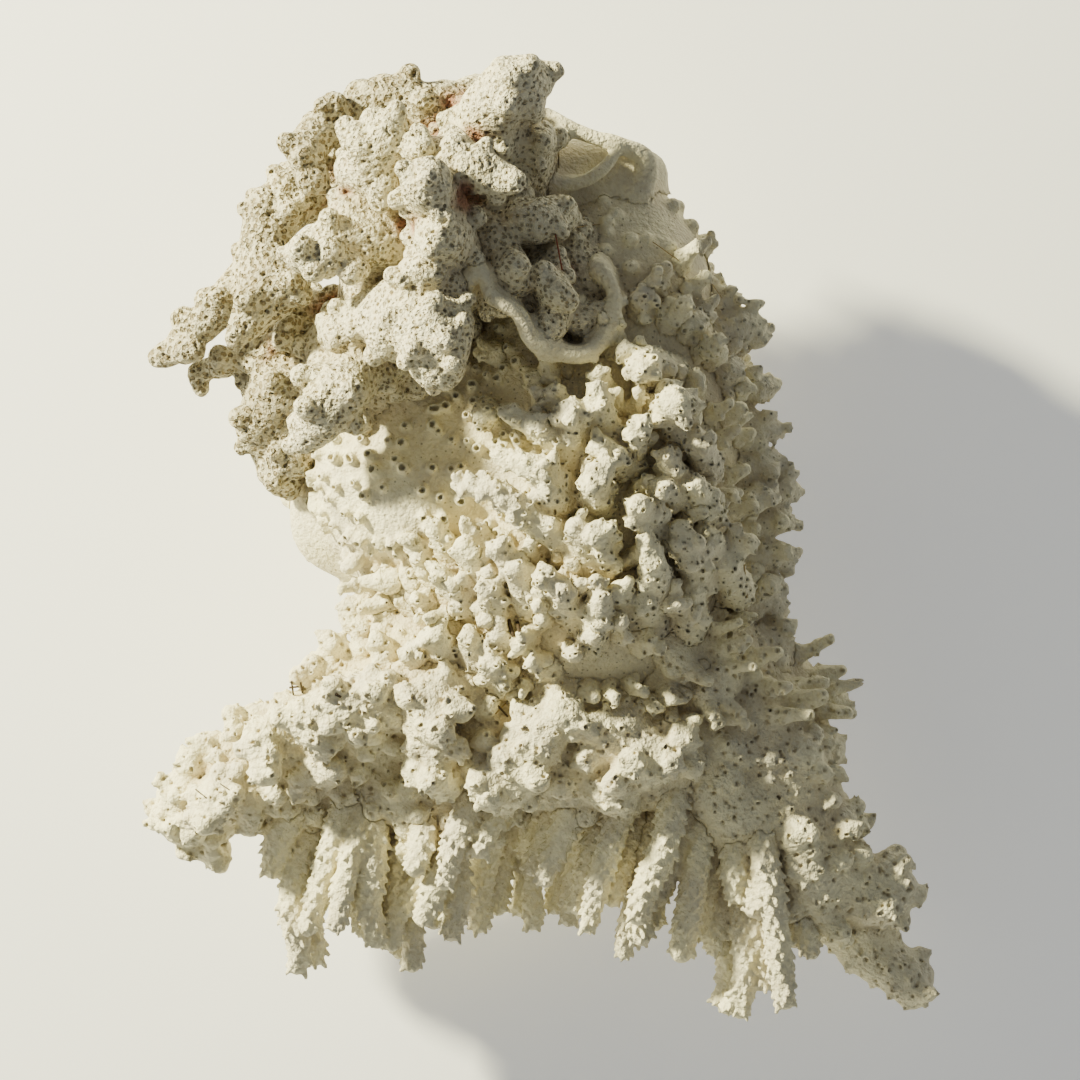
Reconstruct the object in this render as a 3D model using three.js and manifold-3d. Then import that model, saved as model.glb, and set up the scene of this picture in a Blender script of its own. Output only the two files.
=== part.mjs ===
// A branching coral, bleached to its limestone skeleton, lying on the flat cut where it was
// sawn from the rock. X runs to the right across it, Y from the finger tips to the crown and
// Z up from the cut. Sizes are in millimetres. The origin is the middle of the flat cut.
import * as THREE from "three";
import { mergeVertices } from "three/addons/utils/BufferGeometryUtils.js";
import Module from "manifold-3d";

const wasm = await Module();
wasm.setup();

// Driving dimensions and how finely a limb is cut into flats
const CORAL_SPAN = 240;
const NEIGHBOUR_GAP = 0.3;
const FEWEST_SIDES = 4;
const MOST_SIDES = 11;
const RADIUS_FOR_ONE_SIDE = 4;
const SIDES_OF_A_HAIR = 2.6;
const ROUNDED_TIP_FROM = 5;
const CAP_STEP = 0.7;
const CUP_SIDES = 9;
const MERGE_DISTANCE = 1e-4;
const FIRST_ACROSS = [0.31, 0.22, 0.92];
const CORAL_CREAM = 0xd9d2bb;
const DRY_ROUGHNESS = 0.85;

// Each limb below is a row of stations [x, y, z, radius] along its middle line, from its root
// to its tip. The limb is round in section and rounded at both ends.

// The trunk: a foot that spreads on the cut, and the body above it with its smooth dome.
const TRUNK_FOOT = [
  [[0.5, 7.5, -10, 26], [0.5, 7.5, 3, 30], [1, 8.5, 14, 30], [1, 12.5, 26, 26]],
  [[1, -8.5, -10, 25], [1, -8.5, 3, 29], [1, -8.5, 14, 29], [1, -10, 26, 24]],
];
const TRUNK_MASSES = [
  [[4, 68, 42, 14], [4, 50, 42, 23], [2, 22, 38, 32], [1, -4, 36, 32], [0, -22.5, 34, 23]],
  [[-15, 18, 42, 20], [-32, 11, 47, 16.5]],
  [[-37, 12, 38, 13], [-47.5, 4, 33, 9]],
  [[-23, 30, 48, 16], [-39, 24, 46, 11]],
  [[-42.5, 20, 36, 7], [-52.5, 12, 34, 6.5], [-55, 2, 32, 6], [-48.5, -4, 30, 6], [-39.5, -4, 32, 7]],
  [[-9, -14, 48, 15], [-27, -10, 45, 11], [-39, -8, 40, 7]],
];

// Short blunt branchlets that stand all over the front and right of the trunk.
const TRUNK_BRANCHLETS = [
  [[16, 32, 62, 6], [12, 34, 70, 4.4], [10.5, 33, 76, 3.6]],
  [[16, 23.5, 62, 6], [17, 26.5, 76, 4.4]],
  [[-2, 18.5, 68, 5], [-3, 24.5, 78, 3.6]],
  [[13.5, 2, 66, 4.6], [10, 6.5, 77, 3.4]],
  [[25.5, -6, 56, 5], [24, 0, 64, 3.4]],
  [[25.5, -3, 56, 5], [32, -0.5, 60, 2.6]],
  [[30, -10, 50, 5], [27.5, -4.5, 60, 3.4]],
  [[20.5, -17, 54, 5], [20.5, -10, 62, 3.6]],
  [[22, 45, 46, 6], [28, 47.5, 46, 3.6], [30, 48, 46, 1.8]],
  [[25, 40, 46, 7], [32, 43, 46, 4.4], [34.5, 40.5, 45, 3]],
  [[23, 32, 48, 7], [28.5, 33.5, 52, 3.8]],
  [[28, 31, 42, 6], [34.5, 30.5, 42, 4], [38.5, 31.5, 41, 1.6]],
  [[30, 23, 42, 6], [36, 22.5, 42, 3.6], [39, 22, 41, 1.8]],
  [[28, 20, 44, 5], [34.5, 19, 44, 2.6]],
  [[31, 14, 42, 6], [37, 15.5, 42, 3.6], [39.5, 14.5, 41, 2]],
  [[31, 8, 40, 6], [38.5, 10, 40, 4.2], [41.5, 10, 39, 2.8]],
  [[29, 6, 46, 5], [36, 8.5, 47, 2.6]],
  [[31, 3, 40, 6], [38.5, 4, 40, 3.8], [40, 3.5, 39, 2.6]],
  [[32, -4, 40, 6], [38.5, -3, 40, 4], [40.5, -4, 39, 2.8]],
  [[31, -12, 40, 7], [36, -11.5, 40, 4.4], [38.5, -13, 39, 3.2]],
  [[32, -22, 40, 7], [37.5, -20.5, 38, 5], [40, -22, 37, 3.2]],
  [[11, 65, 42, 7], [14.5, 64, 42, 3.4]],
  [[23, 37.5, 52, 6], [26, 37, 58, 2.8]],
  [[-17, -10, 58, 4.6], [-23.5, -1.5, 66, 3.2]],
  [[-9, -9, 62, 4.6], [-17, -2, 70, 2.8]],
  [[-11, -12, 62, 4.4], [-13.5, -5.5, 70, 3]],
  [[-21, -14, 56, 4.4], [-28.5, -7, 62, 2.8]],
  [[-17, -16, 58, 4.4], [-19, -9, 66, 3]],
  [[-27, -14, 50, 4.4], [-35, -7, 52, 2.8]],
  [[-27, -24, 52, 5], [-29.5, -19, 60, 3]],
  [[-21, -24, 54, 5], [-23, -19.5, 61, 2.8]],
  [[-16, -28, 52, 5], [-18.5, -24.5, 61, 3.4]],
  [[-33, -26, 50, 5], [-34.5, -22.5, 57, 2.8]],
];

// The thin shell on the right shoulder, with a cup sunk in its top.
const SHOULDER_SHELL = [
  [[-5, 71, 48, 11], [4, 71.5, 46, 11], [11, 72, 42, 6.5]],
  [[5.5, 76, 43, 6], [12, 74, 40, 4.6]],
];
const SHOULDER_CUP = { centre: [-0.5, 77, 54], radii: [6.5, 5, 9] };

// The long limb that runs down the left of the crown, with its stubs and the flank below it.
const CROWN_LEFT_LIMB = [
  [[-22, 87, 56, 5.5], [-32.5, 87.5, 60, 5.4], [-39.5, 88, 60, 5.2], [-45.5, 84, 58, 5.5]],
  [[-45.5, 83, 58, 5.6], [-51.5, 78.5, 60, 5.4], [-55, 71.5, 62, 4.4]],
  [
    [-37, 76, 46, 9], [-48, 75.5, 48, 9], [-55, 65.5, 50, 8.5], [-61.5, 55, 52, 8], [-70, 46, 48, 6],
    [-80.5, 38.5, 44, 3.2],
  ],
  [[-58.5, 57.5, 56, 7], [-63.5, 49, 60, 6.6], [-67.5, 42, 61, 4.2]],
  [[-53, 42, 46, 7], [-59, 41, 46, 6], [-69, 38, 46, 5], [-76.5, 34.5, 44, 3.2]],
  [[-50, 34, 50, 9], [-61, 28, 48, 9], [-64.5, 22, 45, 5.5]],
  [[-57, 22, 46, 8], [-60.5, 14, 42, 6], [-59.5, 9.5, 40, 3]],
];

// The rough middle of the crown: knobs that stand towards the front, and a broken lower end.
const CROWN_MIDDLE = [
  [
    [-21, 81.5, 52, 12], [-29, 71.5, 54, 15], [-33, 57.5, 54, 17], [-36.5, 41.5, 54, 15],
    [-44.5, 32, 52, 11],
  ],
  [[-36.5, 68, 68, 6.5], [-40.5, 72.5, 75, 6.4], [-38.5, 78, 80, 5.2]],
  [[-33.5, 59, 62, 9], [-43, 58.5, 70, 8], [-50.5, 56.5, 74, 6.6], [-54.5, 55.5, 74, 5]],
  [[-28.5, 62.5, 78, 7], [-31, 67.5, 90, 5.8]],
  [[-26.5, 56, 76, 7], [-28.5, 58, 86, 5.8]],
  [[-30, 71.5, 76, 5], [-22.5, 71.5, 84, 5], [-17, 69.5, 84, 4.2]],
  [[-28.5, 73, 78, 5], [-33, 75, 82, 3.6]],
  [[-36, 42.5, 74, 9.5], [-30, 40.5, 82, 8.6], [-29, 33.5, 82, 6.4]],
  [[-32, 46.5, 76, 8], [-31, 51.5, 84, 4.8]],
  [[-36.5, 44, 66, 9], [-42.5, 43, 70, 6.4], [-48, 40, 66, 5]],
  [[-41.5, 37.5, 62, 7], [-47, 30, 70, 6.6], [-50.5, 25, 72, 5.6], [-54.5, 20, 70, 3.4]],
];

// The top lump of the crown, the limbs below it and the thick rim that curls under them.
const CROWN_TOP = [
  [
    [-14, 72.5, 54, 12], [-17, 78, 66, 9.5], [-18.5, 82.5, 74, 8], [-14, 87.5, 78, 7.5],
    [-10, 89, 74, 5],
  ],
  [[-13, 72, 60, 8], [-10, 78, 68, 5.5]],
  [[-22.5, 61.5, 66, 8], [-18.5, 58, 72, 6], [-14.5, 51, 76, 5]],
  [[-17, 61.5, 64, 8], [-11, 61.5, 72, 5.5], [-5, 63.5, 66, 5]],
  [[-9, 61, 58, 9], [0, 51, 60, 8]],
  [[-17, 53.5, 70, 6], [-14, 52.5, 80, 4]],
  [[-9, 52.5, 66, 6], [-6, 48, 77, 3.8]],
  [
    [-28.5, 47, 66, 5], [-22, 49.5, 71, 3.4], [-17, 46, 72, 3.4], [-11, 46, 70, 3.4],
    [-8.5, 39.5, 67, 3.2], [-0.5, 36.5, 63, 3.2], [5, 43.5, 59, 3.2], [3, 53, 58, 3],
    [-2.5, 55.5, 58, 2.6],
  ],
];

// The left arm, its branchlets along the upper edge and the fingers that hang from it.
const LEFT_ARM = [
  [
    [-17, -20, 42, 14], [-33, -30, 42, 14.5], [-49, -38, 40, 13], [-65.5, -46.5, 36, 11],
    [-79, -53, 32, 8.5], [-83.5, -56, 31, 5.5],
  ],
  [[-31, -32, 50, 8], [-47.5, -33, 55, 6.6], [-55, -35, 56, 5], [-51.5, -40.5, 55, 4]],
  [[-59, -40, 46, 6], [-64.5, -39.5, 50, 4.8], [-63.5, -45.5, 52, 3.8]],
  [[-69.5, -49.5, 40, 6], [-72.5, -51, 45, 4.4], [-74.5, -55, 45, 3.8]],
  [[-78.5, -51.5, 36, 7], [-84.5, -55, 36, 3.6], [-87, -57.5, 35, 2.2]],
  [[-62.5, -51.5, 33, 7], [-51.5, -49.5, 34, 9], [-37.5, -49.5, 36, 11], [-23, -51.5, 36, 12]],
];
const LEFT_ARM_BRANCHLETS = [
  [[-31, -14, 44, 4.4], [-40.5, -9, 42, 2.4]],
  [[-29, -16, 48, 4.4], [-36, -12, 50, 2.6]],
  [[-37, -20, 44, 4.4], [-40.5, -13.5, 46, 2.4]],
  [[-40, -22, 42, 4.4], [-47, -17, 42, 2.3]],
  [[-43, -26, 42, 5], [-49, -22, 42, 3.4]],
  [[-39, -24, 46, 4.4], [-41, -20, 52, 3]],
  [[-47, -30, 42, 5], [-53, -25, 42, 2.5]],
  [[-51, -32, 42, 5], [-55.5, -27.5, 42, 2.3]],
  [[-55, -35, 42, 5], [-60.5, -32.5, 42, 2.6]],
  [[-60.5, -38, 40, 5], [-64.5, -35, 41, 2.4]],
  [[-69.5, -45.5, 38, 5], [-75, -41, 38, 2.6]],
  [[-74.5, -48.5, 36, 5], [-80.5, -44, 36, 2.4]],
];
const LEFT_FINGERS = [
  [[-57.5, -52.5, 36, 8], [-61.5, -60, 36, 5.6], [-63, -66.5, 34, 4]],
  [
    [-53.5, -54.5, 33, 7], [-57.5, -65, 33, 5.4], [-59, -74.5, 32, 5.6], [-58, -83.5, 30, 4],
    [-58.5, -87, 29, 2.8],
  ],
  [
    [-42, -46.5, 40, 6], [-48, -53, 41, 4.6], [-51, -62.5, 40, 4.4], [-53.5, -70.5, 38, 4],
    [-56, -78.5, 36, 3],
  ],
  [
    [-40, -50.5, 38, 7], [-42, -56.5, 40, 5], [-43, -66.5, 40, 5], [-43.5, -74, 38, 4.4],
    [-42, -81, 36, 3],
  ],
  [[-38.5, -56.5, 34, 6], [-37.5, -69, 34, 4], [-38.5, -77, 34, 4], [-39, -82, 34, 2.6]],
  [[-37.5, -57, 30, 6], [-36.5, -67, 30, 4.4], [-35, -79.5, 30, 4.2], [-35, -86.5, 29, 3]],
  [[-33, -50.5, 40, 7], [-32.5, -60, 44, 4.6], [-34, -65.5, 44, 3.8]],
  [[-26, -52.5, 38, 7], [-27.5, -62.5, 41, 4.8], [-30.5, -70.5, 41, 4.6], [-32.5, -76, 40, 3.4]],
];

// The right arm with the knobs along its outer edge, and its fingers.
const RIGHT_ARM = [
  [
    [13, -12, 40, 16], [28.5, -30, 38, 15], [38.5, -46.5, 36, 14], [46, -63, 33, 11.5],
    [55, -71, 31, 9], [61, -72, 30, 7],
  ],
  [[56, -70, 31, 8.5], [63.5, -71, 32, 5.4]],
  [[52, -73.5, 27, 8], [59.5, -84, 24, 6.6], [66.5, -91, 23, 5.6]],
  [[45.5, -68.5, 36, 8], [48.5, -76, 34, 5]],
  [[35.5, -38.5, 34, 11], [43.5, -40, 34, 7], [49.5, -42, 34, 4]],
  [[35.5, -30.5, 34, 10], [42.5, -31.5, 34, 4.5], [48, -32.5, 34, 2.8]],
  [[33.5, -26.5, 32, 10], [40.5, -27, 33, 4.4], [44.5, -27.5, 33, 2.2]],
  [[39.5, -50.5, 34, 9], [46.5, -51, 33, 4.4], [49, -52, 33, 3]],
  [[47, -59, 32, 9], [52.5, -57, 32, 4.4], [53.5, -55, 32, 2.8]],
  [[35, -41, 42, 8], [36.5, -48, 45, 3.4]],
  [[19, -40, 40, 13], [31.5, -52.5, 38, 13], [42.5, -61.5, 35, 9]],
  [[19, -26, 40, 12], [22, -34, 44, 7.4], [24, -43, 44, 4.6]],
  [[23, -24, 44, 8], [26, -24.5, 50, 4.6], [25, -30, 52, 4]],
  [[13, -20, 44, 9], [15, -19.5, 53, 4.8], [18.5, -24, 54, 4.6]],
];
const RIGHT_FINGERS = [
  [
    [17.5, -40, 44, 7], [17.5, -52, 48, 4.8], [15.5, -62, 47, 5], [12, -70, 45, 4.8],
    [10.5, -75, 44, 4],
  ],
  [[15, -56.5, 40, 6], [12.5, -68.5, 41, 5], [11, -75, 40, 4.6], [11.5, -80, 40, 3.2]],
  [
    [25, -44, 40, 8], [23, -56, 42, 4.8], [22.5, -65, 42, 4.8], [21, -75, 40, 4.8],
    [19.5, -83, 38, 4.2],
  ],
  [[29.5, -56.5, 34, 7], [28, -69, 34, 4.2], [27, -78, 34, 4.2], [26.5, -83, 32, 3]],
  [[31.5, -48.5, 38, 9], [30.5, -59, 42, 5], [30, -66, 42, 5], [30.5, -71.5, 41, 3.2]],
  [
    [33.5, -64.5, 36, 6], [32, -74.5, 36, 4.4], [32.5, -84, 36, 4.4], [32.5, -90.5, 34, 4.2],
    [31.5, -95.5, 33, 3],
  ],
  [
    [37.5, -50.5, 38, 9], [35.5, -59, 44, 5], [36.5, -67, 44, 5], [38.5, -78.5, 42, 4.4],
    [39.5, -87.5, 40, 4.2], [40.5, -93, 39, 3],
  ],
  [[43.5, -63, 34, 8], [43, -72.5, 36, 4.4], [44.5, -79, 36, 4], [46, -83.5, 34, 2.8]],
];

// The lobes between the two arms, and the fingers below them.
const CENTRE_LOBES = [
  [
    [-23, -28, 46, 10], [-29, -30, 56, 6], [-31, -34.5, 57, 6.6], [-29.5, -42, 54, 5],
    [-28, -48.5, 52, 3.6],
  ],
  [[-1, -28, 44, 12], [-7, -35.5, 54, 7], [-12.5, -44, 54, 7], [-17, -49.5, 50, 6.4]],
  [[5, -28, 42, 14], [7, -38, 48, 10], [6.5, -47, 48, 7.5]],
  [[3, -26, 46, 8], [7.5, -25, 53, 3.6]],
  [[-5, -24, 46, 9], [-7.5, -22, 54, 5.6], [-10.5, -19, 55, 3.6]],
  [[-17, -40, 42, 15], [-1, -42, 42, 16], [13, -41, 42, 16]],
];
const CENTRE_FINGERS = [
  [[-17, -46, 46, 7], [-22.5, -52, 47, 5.2], [-26, -60.5, 46, 4.6], [-28, -68.5, 44, 3]],
  [[-15, -48, 46, 7], [-17.5, -53.5, 46, 5], [-21, -62, 46, 3.2]],
  [[-17, -51, 30, 8], [-20, -63.5, 26, 5.8], [-21.5, -71.5, 24, 5], [-21.5, -79, 22, 3.2]],
  [[-10, -46.5, 36, 8], [-11, -57, 32, 4.6], [-10.5, -64.5, 30, 3.6]],
  [
    [1, -44, 44, 7], [-2.5, -52, 46, 4.8], [-4.5, -59, 44, 4.6], [-7, -64.5, 42, 3.4],
    [-8, -68.5, 41, 2.6],
  ],
  [[9, -48, 44, 8], [6.5, -56.5, 45, 5], [4, -64.5, 44, 4.4], [2, -72, 42, 3.6], [0.5, -78, 41, 1.9]],
  [[11, -52.5, 38, 7], [9, -62.5, 40, 4.2], [6.5, -68.5, 40, 3.8], [5.5, -72.5, 39, 2.8]],
];

// A thick limb has more sides than a thin one.
function sideCount(stations) {
  const thickest = Math.max(...stations.map((station) => station[3]));
  const sides = Math.round(SIDES_OF_A_HAIR + thickest / RADIUS_FOR_ONE_SIDE);
  return Math.min(MOST_SIDES, Math.max(FEWEST_SIDES, sides));
}

// Rings along a limb, one at each station. The corners stand out a little past the radius and
// the flats lie a little inside it.
function ringsAlong(stations, sides, grow) {
  const middles = stations.map(([x, y, z]) => new THREE.Vector3(x, y, z));
  const line = new THREE.CatmullRomCurve3(middles);
  const last = stations.length - 1;
  const corner = 1 / Math.sqrt(Math.cos(Math.PI / sides));
  return stations.map((station, index) => {
    const radius = (station[3] + grow) * corner;
    return { middle: middles[index], along: line.getTangent(index / last), radius };
  });
}

// The rounded end past a ring: a smaller ring, then the pole.
function capRings(ring, direction) {
  const small = Math.sqrt(1 - CAP_STEP * CAP_STEP) * ring.radius;
  const step = direction * CAP_STEP * ring.radius;
  const pole = direction * ring.radius;
  return [
    { middle: ring.middle.clone().addScaledVector(ring.along, step), along: ring.along, radius: small },
    { middle: ring.middle.clone().addScaledVector(ring.along, pole), along: ring.along, radius: 0 },
  ];
}

// One limb: a sphere whose rings of vertices are moved onto the rings along the limb.
function limbGeometry(stations, grow) {
  const sides = sideCount(stations);
  const rings = ringsAlong(stations, sides, grow);
  const end = rings[rings.length - 1];
  const root = capRings(rings[0], -1);
  const tip = capRings(end, 1).slice(end.radius > ROUNDED_TIP_FROM ? 0 : 1);
  const all = [root[1], ...rings, ...tip].reverse();
  const geometry = new THREE.SphereGeometry(1, sides, all.length - 1);
  const position = geometry.getAttribute("position");
  const across = new THREE.Vector3(...FIRST_ACROSS);
  all.forEach((ring, row) => {
    across.addScaledVector(ring.along, -across.dot(ring.along)).normalize();
    const other = across.clone().cross(ring.along);
    for (let column = 0; column <= sides; column += 1) {
      const turn = (column / sides) * 2 * Math.PI;
      const vertex = ring.middle.clone();
      vertex.addScaledVector(across, -Math.cos(turn) * ring.radius);
      vertex.addScaledVector(other, Math.sin(turn) * ring.radius);
      position.setXYZ(row * (sides + 1) + column, vertex.x, vertex.y, vertex.z);
    }
  });
  return geometry;
}

function solidFrom(geometry) {
  geometry.deleteAttribute("normal");
  geometry.deleteAttribute("uv");
  const merged = mergeVertices(geometry, MERGE_DISTANCE);
  const vertProperties = new Float32Array(merged.getAttribute("position").array);
  const triVerts = new Uint32Array(merged.getIndex().array);
  return new wasm.Manifold(new wasm.Mesh({ numProp: 3, vertProperties, triVerts }));
}

function geometryFrom(solid) {
  const mesh = solid.getMesh();
  const geometry = new THREE.BufferGeometry();
  geometry.setAttribute("position", new THREE.BufferAttribute(mesh.vertProperties, 3));
  geometry.setIndex(new THREE.BufferAttribute(mesh.triVerts, 1));
  const flat = geometry.toNonIndexed();
  flat.computeVertexNormals();
  return flat;
}

function joined(solids) {
  return solids.reduce((whole, solid) => whole.add(solid));
}

// All limbs of a piece fused into one solid, each a little fatter by grow.
function fusedLimbs(limbs, grow) {
  return joined(limbs.map((stations) => solidFrom(limbGeometry(stations, grow))));
}

function ellipsoid({ centre, radii }) {
  const geometry = new THREE.SphereGeometry(1, CUP_SIDES, CUP_SIDES);
  geometry.scale(...radii);
  geometry.translate(...centre);
  return solidFrom(geometry);
}

// The rock side of the flat cut.
function belowCut() {
  const geometry = new THREE.BoxGeometry(CORAL_SPAN, CORAL_SPAN, CORAL_SPAN);
  geometry.translate(0, 0, -CORAL_SPAN / 2);
  return solidFrom(geometry);
}

function coralMaterial() {
  return new THREE.MeshStandardMaterial({ color: CORAL_CREAM, roughness: DRY_ROUGHNESS, metalness: 0 });
}

// The pieces in the order in which they fork from the trunk. Each later piece is cut back
// where an earlier one stands, so the two meet face to face.
const PIECES = [
  { name: "trunk", limbs: [...TRUNK_FOOT, ...TRUNK_MASSES, ...TRUNK_BRANCHLETS] },
  { name: "crown_middle", limbs: CROWN_MIDDLE },
  { name: "crown_left_limb", limbs: CROWN_LEFT_LIMB },
  { name: "crown_top", limbs: CROWN_TOP },
  { name: "shoulder_shell", limbs: SHOULDER_SHELL, hollow: SHOULDER_CUP },
  { name: "left_arm", limbs: [...LEFT_ARM, ...LEFT_ARM_BRANCHLETS, ...LEFT_FINGERS] },
  { name: "right_arm", limbs: [...RIGHT_ARM, ...RIGHT_FINGERS] },
  { name: "centre_lobes", limbs: [...CENTRE_LOBES, ...CENTRE_FINGERS] },
];

const group = new THREE.Group();
let taken = belowCut();
for (const { name, limbs, hollow } of PIECES) {
  let solid = fusedLimbs(limbs, 0).subtract(taken);
  if (hollow) {
    solid = solid.subtract(ellipsoid(hollow));
  }
  const mesh = new THREE.Mesh(geometryFrom(solid), coralMaterial());
  mesh.name = name;
  group.add(mesh);
  taken = taken.add(fusedLimbs(limbs, NEIGHBOUR_GAP));
}

export default group;
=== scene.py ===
# A branching coral, bleached and dry, lying on the flat cut where it was sawn from its rock.
# It is grown piece by piece in a lattice of distances, in the order in which the coral forks.
# Lengths are millimetres while it grows, and MM turns them into Blender's metres.
import math

import bpy
import numpy as np
import openvdb
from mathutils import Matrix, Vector


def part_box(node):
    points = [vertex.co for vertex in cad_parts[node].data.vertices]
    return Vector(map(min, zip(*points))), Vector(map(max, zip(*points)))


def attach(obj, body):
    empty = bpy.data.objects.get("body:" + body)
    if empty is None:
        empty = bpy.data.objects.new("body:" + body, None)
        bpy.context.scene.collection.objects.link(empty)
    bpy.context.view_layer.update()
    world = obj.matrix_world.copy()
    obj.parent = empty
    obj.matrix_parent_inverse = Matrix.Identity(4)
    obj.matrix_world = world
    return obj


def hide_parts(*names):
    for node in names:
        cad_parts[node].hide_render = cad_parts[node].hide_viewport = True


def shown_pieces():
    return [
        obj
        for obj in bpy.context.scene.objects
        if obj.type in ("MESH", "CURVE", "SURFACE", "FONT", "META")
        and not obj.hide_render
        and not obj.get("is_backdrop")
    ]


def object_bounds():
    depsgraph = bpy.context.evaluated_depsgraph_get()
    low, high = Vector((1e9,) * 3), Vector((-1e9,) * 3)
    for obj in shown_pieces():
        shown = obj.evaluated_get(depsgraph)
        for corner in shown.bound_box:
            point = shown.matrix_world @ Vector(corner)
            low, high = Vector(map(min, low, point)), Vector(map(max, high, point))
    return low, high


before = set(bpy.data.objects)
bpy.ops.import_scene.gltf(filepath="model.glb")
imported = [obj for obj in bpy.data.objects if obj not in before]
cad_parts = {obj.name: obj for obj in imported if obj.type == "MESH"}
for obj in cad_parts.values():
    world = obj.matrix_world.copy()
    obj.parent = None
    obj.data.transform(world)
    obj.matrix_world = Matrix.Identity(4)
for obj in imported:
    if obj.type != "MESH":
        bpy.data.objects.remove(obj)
cad_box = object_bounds()

# The foot of the trunk: the thick root of the coral, limestone laid down by the polyps. It was
# sawn off its rock, so it ends in a flat cut, and the coral lies on that. It is grown first,
# from round limbs fused in a lattice of distances, and skinned where the distance is nought.
MM = 0.001
GRAIN = 0.42
MARGIN = 3.0
REACH = 4.0
CURVE_STEPS = 4
PIT_SHADE_EDGE = 0.5
HIDDEN_SHARE = 0.3
FACES_AWAY = -0.4
ON_SURFACE = 0.2
OPEN_AIR = 0.3
FITTED_GAP = 0.03
CROWDING = 0.8
SURFACE_STEPS = 3
WANDER = 0.25
FLATNESS = 0.08
THINNING = 0.46
CRUMB = 600

node_corners = np.array([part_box(node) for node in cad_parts]) / MM
lattice_low = np.floor(node_corners[:, 0].min(axis=0)) - MARGIN
lattice_high = np.ceil(node_corners[:, 1].max(axis=0)) + MARGIN
lattice_shape = np.ceil((lattice_high - lattice_low) / GRAIN).astype(int)
grown = np.full(lattice_shape, REACH, dtype=np.float32)


def curve_through(stations):
    """Points and radii along a smooth line through the stations of one limb."""
    rows = np.array(stations, dtype=float)
    padded = np.vstack([2 * rows[0] - rows[1], rows, 2 * rows[-1] - rows[-2]])
    steps = []
    for start in range(len(rows) - 1):
        before, first, last, after = padded[start:start + 4]
        bend = 2 * before - 5 * first + 4 * last - after
        twist = -before + 3 * first - 3 * last + after
        for share in np.arange(CURVE_STEPS) / CURVE_STEPS:
            step = first + 0.5 * (share * (last - before) + share**2 * bend + share**3 * twist)
            step[3] = first[3] + share * (last[3] - first[3])
            steps.append(step)
    steps.append(rows[-1])
    steps = np.array(steps)
    return steps[:, :3], steps[:, 3]


def block_around(points, radii, reach):
    """The block of the lattice that holds every place within reach of balls at the points."""
    size = np.reshape(radii, (-1, 1)) + reach
    first = np.floor(((points - size).min(axis=0) - lattice_low) / GRAIN).astype(int)
    last = np.ceil(((points + size).max(axis=0) - lattice_low) / GRAIN).astype(int) + 1
    first = np.clip(first, 0, lattice_shape)
    last = np.clip(last, 0, lattice_shape)
    return tuple(slice(a, b) for a, b in zip(first, last))


def inner_block(block, outer):
    """The same block, counted from the corner of the outer block that holds it."""
    return tuple(slice(max(a.start, b.start) - b.start, min(a.stop, b.stop) - b.start)
                 for a, b in zip(block, outer))


def rulers(block):
    """The millimetre marks along the three sides of a block, ready to broadcast."""
    x, y, z = (np.arange(side.start, side.stop) * GRAIN + low
               for side, low in zip(block, lattice_low))
    return (x.astype(np.float32)[:, None, None], y.astype(np.float32)[None, :, None],
            z.astype(np.float32)[None, None, :])


def rod_distance(block, tail, head, tail_radius, head_radius):
    """How far each place of a block is from a rod with round ends."""
    x, y, z = rulers(block)
    run = head - tail
    length_squared = max(float(run @ run), 1e-6)
    share = ((x - tail[0]) * run[0] + (y - tail[1]) * run[1] + (z - tail[2]) * run[2])
    share = np.clip(share / length_squared, 0, 1).astype(np.float32)
    gap = (x - tail[0] - share * run[0])**2
    gap += (y - tail[1] - share * run[1])**2
    gap += (z - tail[2] - share * run[2])**2
    return np.sqrt(gap) - (tail_radius + share * (head_radius - tail_radius))


def fused(one, other, blend):
    """The union of two fields with the inner corner between them filled round."""
    fill = np.maximum(blend - np.abs(one - other), 0)
    return np.minimum(one, other) - fill * fill / (4 * blend)


def carved(body, tool, blend):
    """The body with the tool cut out of it, and the edge of the cut rounded."""
    return -fused(-body, tool, blend)


def relief(shape, width, seed):
    """Smooth random relief, about -0.6 to 0.6, with lumps about width mm across."""
    random = np.random.default_rng(seed)
    field = random.uniform(-1, 1, [int(side * GRAIN / width) + 4 for side in shape])
    field = field.astype(np.float32)
    for axis in (2, 1, 0):
        place = np.arange(shape[axis]) * GRAIN / width
        cell = place.astype(int)
        part = place - cell
        weights = ((1 - part)**3 / 6, (3 * part**3 - 6 * part**2 + 4) / 6,
                   (-3 * part**3 + 3 * part**2 + 3 * part + 1) / 6, part**3 / 6)
        column = [-1 if side == axis else 1 for side in range(3)]
        field = sum(weight.astype(np.float32).reshape(column) * np.take(field, cell + knot, axis=axis)
                    for knot, weight in enumerate(weights))
    return field


def sample(field, places):
    """The value of a field at places given in lattice steps from its corner."""
    places = np.clip(places, 0, np.array(field.shape) - 1.001)
    cell = places.astype(int)
    part = places - cell
    value = 0
    for corner in np.ndindex(2, 2, 2):
        weight = np.prod(np.where(corner, part, 1 - part), axis=1)
        index = cell + corner
        value = value + weight * field[index[:, 0], index[:, 1], index[:, 2]]
    return value


def slope(field, places):
    """The outward direction of a field at places given in lattice steps."""
    rise = np.stack([sample(field, places + step) - sample(field, places - step)
                     for step in np.eye(3)], axis=1)
    return rise / np.maximum(np.linalg.norm(rise, axis=1, keepdims=True), 1e-6)


def slimmed(limbs, share):
    """The same limbs with all their radii made smaller."""
    return [[[x, y, z, share * radius] for x, y, z, radius in stations] for stations in limbs]


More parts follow.
